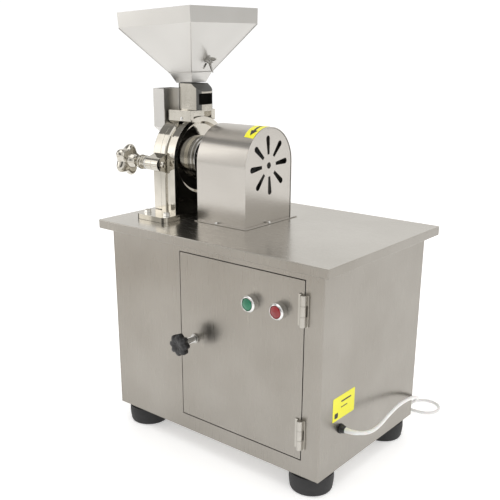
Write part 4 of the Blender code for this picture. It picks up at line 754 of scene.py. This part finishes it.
near_clamp = np.hypot(cast[:, 1] - grip_middle[1], cast[:, 2] - grip_middle[2]) < 0.010
domed_screw("clamp_cap", (cast[near_clamp, 0].max() + 0.0001, grip_middle[1], grip_middle[2]), 0.0068,
            look=POLISHED, axis="X")
block_low, block_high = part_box("feed_block")
block_screw_x = (block_low.x + block_high.x) / 2 + 0.006
domed_screw("block_screw", (block_screw_x, block_low.y - 0.0001, block_high.z - 0.016), 0.0026,
            axis="Y", side=-1)
print("fasteners ready")

# %% [markdown]
# ## Hopper, gate and wing nut
# The hopper is four sheets folded and welded into a square funnel with an upright rim. The weld
# runs down its corners as a thin bead, a low collar covers the fold at the funnel's foot, and
# the gate's wing nut rides in a slot in its side.

# %% Hopper
made = softened("hopper", 0.0005, HOPPER_STEEL, "machine")
dressed(HOPPER_STEEL, "feed_gate", "screen")
LEAN = radians(2.6)
CONE_FOOT, CONE_TOP = (0.0198, 0.0300), (0.1054, 0.0951)   # level and half width
hopper_foot = np.array((-0.17885, middle("hopper")[1], 0.688534))


def leaning(points):
    """Turn points about the hopper's foot: x' = x cos a - z sin a, z' = x sin a + z cos a."""
    x, y, z = np.moveaxis(np.asarray(points, float), -1, 0)
    return hopper_foot + np.stack([x * cos(LEAN) - z * sin(LEAN), y, x * sin(LEAN) + z * cos(LEAN)], -1)


def weld_bead(name, start, end):
    """Thin bead along a corner: its radius ripples with a short wave, as laid weld does."""
    share = np.linspace(0, 1, 90)[:, None]
    path = leaning(np.array(start) + share * (np.array(end) - np.array(start)))
    radii = 0.0007 + 0.00012 * np.sin(share[:, 0] * tau * 38)
    made = tapered_along(name, path, radii, HOPPER_STEEL, 8)


for number, (x, y) in enumerate(((1, 1), (1, -1), (-1, -1), (-1, 1))):
    (foot_level, foot_half), (top_level, top_half) = CONE_FOOT, CONE_TOP
    weld_bead(f"hopper_weld_{number + 1}", (x * foot_half, y * foot_half, foot_level),
              (x * top_half, y * top_half, top_level - 0.0006))
side_share = np.linspace(0, 1, 5)[:-1, None]
corner = np.array(((1, 1), (-1, 1), (-1, -1), (1, -1), (1, 1)), float)
square = np.concatenate([corner[k] + side_share * (corner[k + 1] - corner[k]) for k in range(4)])
collar_rows = [(0.0294, 0.0182), (0.0309, 0.0184), (0.0309, 0.0193), (0.0299, 0.0195)]
collar_points = np.stack([leaning(np.column_stack([square * half, np.full(len(square), level)]))
                          for half, level in collar_rows])
collar = piece_from("hopper_collar", collar_points, grid_quads(4, len(square), True, True),
                    HOPPER_STEEL, "machine", 25)
print("hopper welds and collar ready")

# %% Wing nut
WING_TURN = 108                 # degrees from crosswise
stud = np.array((-0.13392, middle("feed_gate")[1], 0.732618))
outward = np.array((0.82261, 0, -0.56861))
slide_way = np.array((0.56861, 0, 0.82261))


def build_wing_nut():
    """A turned hub, and two wings: each is a flat oval plate that leans outwards, its section
    an ellipse whose half width and half thickness shrink towards the tip."""
    turn = radians(WING_TURN)
    across = cos(turn) * np.array((0, 1.0, 0)) + sin(turn) * slide_way
    edgeways = np.cross(outward, across)
    stations, steps = 14, 16
    wing_path = np.linspace(0, 1, stations)
    angle = tau * np.arange(steps) / steps
    for number, side in enumerate((-1, 1)):
        base, tip = 0.0045 * outward + side * 0.0036 * across, 0.0212 * outward + side * 0.0165 * across
        line = stud + base + wing_path[:, None] * (tip - base)
        along = (tip - base) / np.linalg.norm(tip - base)
        broad = np.cross(along, edgeways)
        half = 0.0020 + 0.0016 * np.sin(pi * wing_path ** 0.9)
        half = half * np.sqrt(np.clip(1.02 - wing_path ** 6, 0, 1))
        thick = 0.0012 - 0.0005 * wing_path
        ring = (half[:, None, None] * np.cos(angle)[None, :, None] * broad
                + thick[:, None, None] * np.sin(angle)[None, :, None] * edgeways)
        points = line[:, None] + ring
        points = np.concatenate([np.repeat(line[:1, None], steps, 1), points,
                                 np.repeat(line[-1:, None], steps, 1)])
        wing = piece_from(f"wing_{number + 1}", points, grid_quads(stations + 2, steps, True),
                          MACHINED, "wing_nut", 50)
    hub_path = stud + np.array([0.0004, 0.0015, 0.0018, 0.0060, 0.0100, 0.0104])[:, None] * outward
    hub = tapered_along("wing_hub", hub_path, [0.0080, 0.0080, 0.0060, 0.0054, 0.0046, 0.0040], MACHINED, 28)
    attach(hub, "wing_nut")
    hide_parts("wing_nut")


build_wing_nut()
print("wing nut ready")

# %% [markdown]
# ## The belt guard
# The guard is an arch of sheet with its foot turned out into a lip, and a slotted plate closes
# its end. A curved yellow label shows which way the shaft turns. The label is a thin sheet on
# the arch: its points are worked out in degrees round the shaft and metres along it.

# %% Guard and its label
def shade_arch_inside(made):
    """Painted shade, a darker finish, on the arch's inner side: its faces there point towards the shaft's
    line.
    """
    made.data.materials.append(INSIDE_PAINTED_SHADE)
    shaft = middle("guard_shell")[1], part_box("guard_shell")[1].z - GUARD_RADIUS
    for face in made.data.polygons:
        to_shaft_y, to_shaft_z = shaft[0] - face.center.y, shaft[1] - face.center.z
        inwards = to_shaft_y * face.normal.y
        if to_shaft_z < 0:
            inwards += to_shaft_z * face.normal.z
        if abs(face.normal.x) < 0.5 and inwards > 0.002 and abs(to_shaft_y) < GUARD_RADIUS - 0.0005:
            face.material_index = 1


GUARD_LIP = 0.009
GUARD_RADIUS = (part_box("guard_shell")[1].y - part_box("guard_shell")[0].y) / 2 - GUARD_LIP
for node in ("guard_shell", "guard_end_plate"):
    made = softened(node, 0.0004, GUARD_STEEL, "machine")
    if node == "guard_shell":
        # The arch's inner side gets painted shade.
        shade_arch_inside(made)
shaft_y = middle("guard_shell")[1]
arch_radius = GUARD_RADIUS
shaft_z = shell_high.z - arch_radius


def on_arch(along, degrees, lift):
    """Points on the arch: x along, and the radius plus a lift at an angle from the horizontal
    on the front side."""
    angle = np.radians(degrees)
    reach = arch_radius + lift
    return np.stack(np.broadcast_arrays(along, shaft_y - reach * np.cos(angle),
                                        shaft_z + reach * np.sin(angle)), -1)


def curved_patch(name, corners, lift, look, steps=14):
    """Four-sided sheet on the arch. Its corners are (along, degrees); inside, every place is the
    bilinear mix of the four. An edge row a little lower closes it down to the steel."""
    corners = np.array(corners, float)
    u, v = np.meshgrid(np.linspace(0, 1, steps), np.linspace(0, 1, steps))
    mix = ((1 - u) * (1 - v), u * (1 - v), u * v, (1 - u) * v)
    along = sum(m * c[0] for m, c in zip(mix, corners))
    degrees = sum(m * c[1] for m, c in zip(mix, corners))
    top, bottom = on_arch(along, degrees, lift), on_arch(along, degrees, lift - 0.00012)
    points = np.concatenate([top.reshape(-1, 3), bottom.reshape(-1, 3)])
    quads = grid_quads(steps, steps, False)
    edge = np.concatenate([np.arange(steps), np.arange(1, steps) * steps + steps - 1,
                           np.arange(steps - 2, -1, -1) + steps * (steps - 1),
                           np.arange(steps - 2, 0, -1) * steps])
    after = np.roll(edge, -1)
    sides = np.stack([edge, after, after + steps * steps, edge + steps * steps], -1)
    faces = np.concatenate([quads, quads[:, ::-1] + steps * steps, sides])
    made = piece_from(name, points, faces, look, "machine", 40)
    return made


LABEL_START, LABEL_END = shell_high.x - GUARD_LIP - 0.026, shell_high.x - GUARD_LIP - 0.002
curved_patch("turning_label", ((LABEL_START + 0.001, 51), (LABEL_END, 49), (LABEL_END - 0.004, 97),
                               (LABEL_START - 0.010, 98)), 0.00025, LABEL_YELLOW)
arrow_foot, arrow_tip = (LABEL_START + LABEL_END) / 2 - 0.007, (LABEL_START + LABEL_END) / 2
curved_patch("arrow_shaft", ((arrow_tip - 0.0030, 66), (arrow_tip + 0.0022, 66), (arrow_foot + 0.0030, 93),
                             (arrow_foot - 0.0022, 93)), 0.00036, PRINT_BLACK)
curved_patch("arrow_head", ((arrow_tip - 0.0002, 55), (arrow_tip + 0.0002, 55), (arrow_tip + 0.0075, 68),
                            (arrow_tip - 0.0080, 68)), 0.00038, PRINT_BLACK)
print("guard radius", round(arch_radius, 4))

# %% [markdown]
# ## The side label
# A yellow label is stuck on the right panel over the gland. It carries no words: two plain bars
# and a block stand for its print.

# %% Side label
def flat_patch(name, y_span, z_span, lift, look):
    """Rectangle with rounded corners on the right panel: its face stands the lift off the steel."""
    corner_radius = min(0.0025, (z_span[1] - z_span[0]) / 3)
    angle = np.radians(np.arange(0, 360, 15))
    half_y, half_z = (y_span[1] - y_span[0]) / 2 - corner_radius, (z_span[1] - z_span[0]) / 2 - corner_radius
    y = sum(y_span) / 2 + np.sign(np.cos(angle) + 1e-9) * half_y + corner_radius * np.cos(angle)
    z = sum(z_span) / 2 + np.sign(np.sin(angle) + 1e-9) * half_z + corner_radius * np.sin(angle)
    rows = []
    for x, size in ((panel_face + 0.0001, 0.0), (panel_face + 0.0001, 1.0), (panel_face + lift, 1.0),
                    (panel_face + lift, 0.0)):
        rows.append(np.stack([np.full(len(angle), x), sum(y_span) / 2 + size * (y - sum(y_span) / 2),
                              sum(z_span) / 2 + size * (z - sum(z_span) / 2)], -1))
    made = piece_from(name, np.stack(rows), grid_quads(4, len(angle), True), look, "machine", 30)


label_low, label_high = (-0.1145, 0.140), (-0.0445, 0.185)
LABEL_LIFT, PRINT_LIFT = 0.00025, 0.00035      # off the steel
flat_patch("side_label", (label_low[0], label_high[0]), (label_low[1], label_high[1]), LABEL_LIFT,
           LABEL_YELLOW)
bars_left = label_low[0] + 0.026
flat_patch("label_bar_1", (bars_left, label_high[0] - 0.012),
           (label_high[1] - 0.014, label_high[1] - 0.011), PRINT_LIFT, PRINT_BLACK)
flat_patch("label_bar_2", (bars_left, label_high[0] - 0.024),
           (label_high[1] - 0.0245, label_high[1] - 0.0225), PRINT_LIFT, PRINT_BLACK)
flat_patch("label_block", (label_low[0] + 0.006, label_low[0] + 0.017),
           (label_low[1] + 0.005, label_low[1] + 0.015), PRINT_LIFT, PRINT_BLACK)
print("label ready")

# %% [markdown]
# ## The drive
# Behind the door a foot-mounted motor turns the shaft by a V-belt. Cooling ribs run along its
# body: the radius is flat between ribs and stands out at each one. The belt and the pulleys
# keep their CAD shapes.

# %% Motor, belt and pulleys
dressed(MOTOR_BLUE, "motor")
dressed(IRON, "mill_pulley", "motor_pulley")
dressed(RUBBER, "v_belt")
motor_low, motor_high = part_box("motor")
motor_axis = (0, middle("motor_shaft")[1], middle("motor_shaft")[2])
MOTOR_RADIUS = 0.062
rib_start, rib_end = motor_low.x + 0.018, motor_high.x - 0.042


def ribs(angle, radius):
    """Forty ribs: the radius grows by 4.5% in the middle third of each fortieth of a turn."""
    from_middle = np.abs(np.mod(angle * 20 / pi + 0.5, 1) - 0.5)
    return 1 + 0.045 * (from_middle < 0.16) * np.ones_like(radius)


ribbing = turned("motor_ribs", [(rib_start, MOTOR_RADIUS - 0.002), (rib_start, MOTOR_RADIUS + 0.0004),
                                (rib_end, MOTOR_RADIUS + 0.0004), (rib_end, MOTOR_RADIUS - 0.002)],
                 "X", motor_axis, MOTOR_BLUE, "machine", 400, ribs, 30)
# The shaft nut is dark iron, partly its own colour and partly painted shade for the end plate's middle hole.
nut_profile = [(0.0002, 0.0078), (0.0002, 0.0125), (0.0008, 0.0125), (0.0009, 0.0112),
               (0.0080, 0.0112), (0.0090, 0.0100), (0.0090, 0.0078)]
nut = turned("shaft_nut", nut_profile, "X", (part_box("mill_pulley")[1].x, shaft_y, shaft_z), IRON,
             "rotor", 36, hexagon, 20)
print("motor from", round(motor_low.x, 3), "to", round(motor_high.x, 3))

# %% [markdown]
# ## Floor, world and lights
# Steel shows nothing but its surroundings, so the room matters as much as the metal. A pale
# world with a few soft dark flags gives every panel a slow change of tone, and broad soft
# lights above and beside the machine draw the bright streaks. A low warm card in front and to
# the left tints what the foot of the cabinet mirrors.

# %% Floor, world and card
# Each flag: its direction, the dot products at its edge and core, and what it leaves there.
FLAGS = (((-0.61, -0.25, 0.73), 0.80, 0.96, 0.32), ((0.3, -0.95, 0.25), 0.86, 0.97, 0.15),
         ((-1.0, 0.1, 0.12), 0.90, 0.985, 0.15), ((0.9, 0.3, 0.35), 0.92, 0.99, 0.25))


def build_floor():
    """Wide flat sheet with a pale matte finish."""
    reach = np.linspace(-6, 6, 13)
    x, y = np.meshgrid(reach, reach)
    mesh = bpy.data.meshes.new("floor")
    mesh.from_pydata(np.stack([x, y, 0 * x - 0.0002], -1).reshape(-1, 3).tolist(), [],
                     grid_quads(13, 13, False).tolist())
    floor_look = finish_look("floor_paint", 0, (0.90, 0.90, 0.90), (0.92, 0.92, 0.92), (0.7, 0.8), 40, 1e-5,
                             Emission_Color=(1, 1, 1, 1), Emission_Strength=0.42)
    mesh.materials.append(floor_look)
    floor = bpy.data.objects.new("floor", mesh)
    bpy.context.scene.collection.objects.link(floor)


def build_world():
    """Studio whose brightness follows the height looked at, with soft dark flags: each dims the
    room within a cone about its direction, as the dot product with that direction tells. The
    backdrop behind the machine is plain white paper."""
    world = bpy.data.worlds.new("studio")
    world.use_nodes = True
    tree = world.node_tree
    place = put(tree, "ShaderNodeTexCoord")
    split = put(tree, "ShaderNodeSeparateXYZ")
    tree.links.new(place.outputs["Generated"], split.inputs["Vector"])
    height = put(tree, "ShaderNodeMapRange", {"From Min": 0.0, "From Max": 1.0,
                                              "To Min": 0.86, "To Max": 0.98})
    tree.links.new(split.outputs["Z"], height.inputs["Value"])
    level = height.outputs["Result"]
    for direction, edge, core, darkness in FLAGS:
        towards = put(tree, "ShaderNodeVectorMath", operation="DOT_PRODUCT")
        towards.inputs[1].default_value = np.array(direction) / np.linalg.norm(direction)
        tree.links.new(place.outputs["Generated"], towards.inputs[0])
        fade = put(tree, "ShaderNodeMapRange", {"From Min": edge, "From Max": core, "To Min": 1.0,
                                                "To Max": darkness}, interpolation_type="SMOOTHSTEP")
        tree.links.new(towards.outputs["Value"], fade.inputs["Value"])
        dim = put(tree, "ShaderNodeMath", operation="MULTIPLY")
        tree.links.new(level, dim.inputs[0])
        tree.links.new(fade.outputs["Result"], dim.inputs[1])
        level = dim.outputs["Value"]
    room = tree.nodes["Background"]
    room.inputs["Color"].default_value = (1.0, 0.985, 0.96, 1)
    tree.links.new(level, room.inputs["Strength"])
    paper = put(tree, "ShaderNodeBackground", {"Color": (1, 1, 1, 1), "Strength": 1.05})
    rays = put(tree, "ShaderNodeLightPath")
    mix = put(tree, "ShaderNodeMixShader")
    tree.links.new(rays.outputs["Is Camera Ray"], mix.inputs["Fac"])
    tree.links.new(room.outputs["Background"], mix.inputs[1])
    tree.links.new(paper.outputs["Background"], mix.inputs[2])
    tree.links.new(mix.outputs["Shader"], tree.nodes["World Output"].inputs["Surface"])
    bpy.context.scene.world = world


def build_card(name, place, across, size, tone):
    """Upright card beside the machine, out of the picture, that its panels reflect."""
    side = np.array((*across, 0.0)) / np.linalg.norm(across) * size[0] / 2
    foot, rise = np.array((*place, 0.01)), np.array((0, 0, size[1]))
    mesh = bpy.data.meshes.new(name)
    corners = (foot - side, foot + side, foot + side + rise, foot - side + rise)
    mesh.from_pydata([tuple(p) for p in corners], [], [(0, 1, 2, 3)])
    mesh.materials.append(finish_look(f"{name}_paint", 0, tone, tone, (0.8, 0.9), 40, 1e-5))
    card = bpy.data.objects.new(name, mesh)
    bpy.context.scene.collection.objects.link(card)


build_floor()
build_world()
build_card("warm_card", (-0.72, -1.02), (0.77, -0.64), (1.5, 0.075), (0.50, 0.42, 0.32))
print("world ready")

# %% Lights
def soft_light(name, place, target, size, power, colour=(1, 1, 1)):
    """Square area light at a place, turned to face a target."""
    lamp = bpy.data.lights.new(name, "AREA")
    lamp.shape = "RECTANGLE"
    lamp.size, lamp.size_y = size
    lamp.energy = power
    lamp.color = colour
    made = bpy.data.objects.new(name, lamp)
    bpy.context.scene.collection.objects.link(made)
    made.location = place
    towards = np.array(target, float) - np.array(place, float)
    made.rotation_euler = Vector(towards).to_track_quat("-Z", "Y").to_euler()
    return made


soft_light("top_light", (0.0, -0.3, 2.6), (0, 0, 0.4), (2.2, 2.2), 17)
soft_light("left_light", (-2.2, -1.4, 1.5), (0, 0, 0.5), (1.2, 1.8), 9, (1.0, 0.98, 0.95))
soft_light("right_light", (2.6, 0.2, 1.4), (0, 0, 0.4), (1.0, 1.6), 5)
scene = bpy.context.scene
scene.view_settings.view_transform = "Standard"
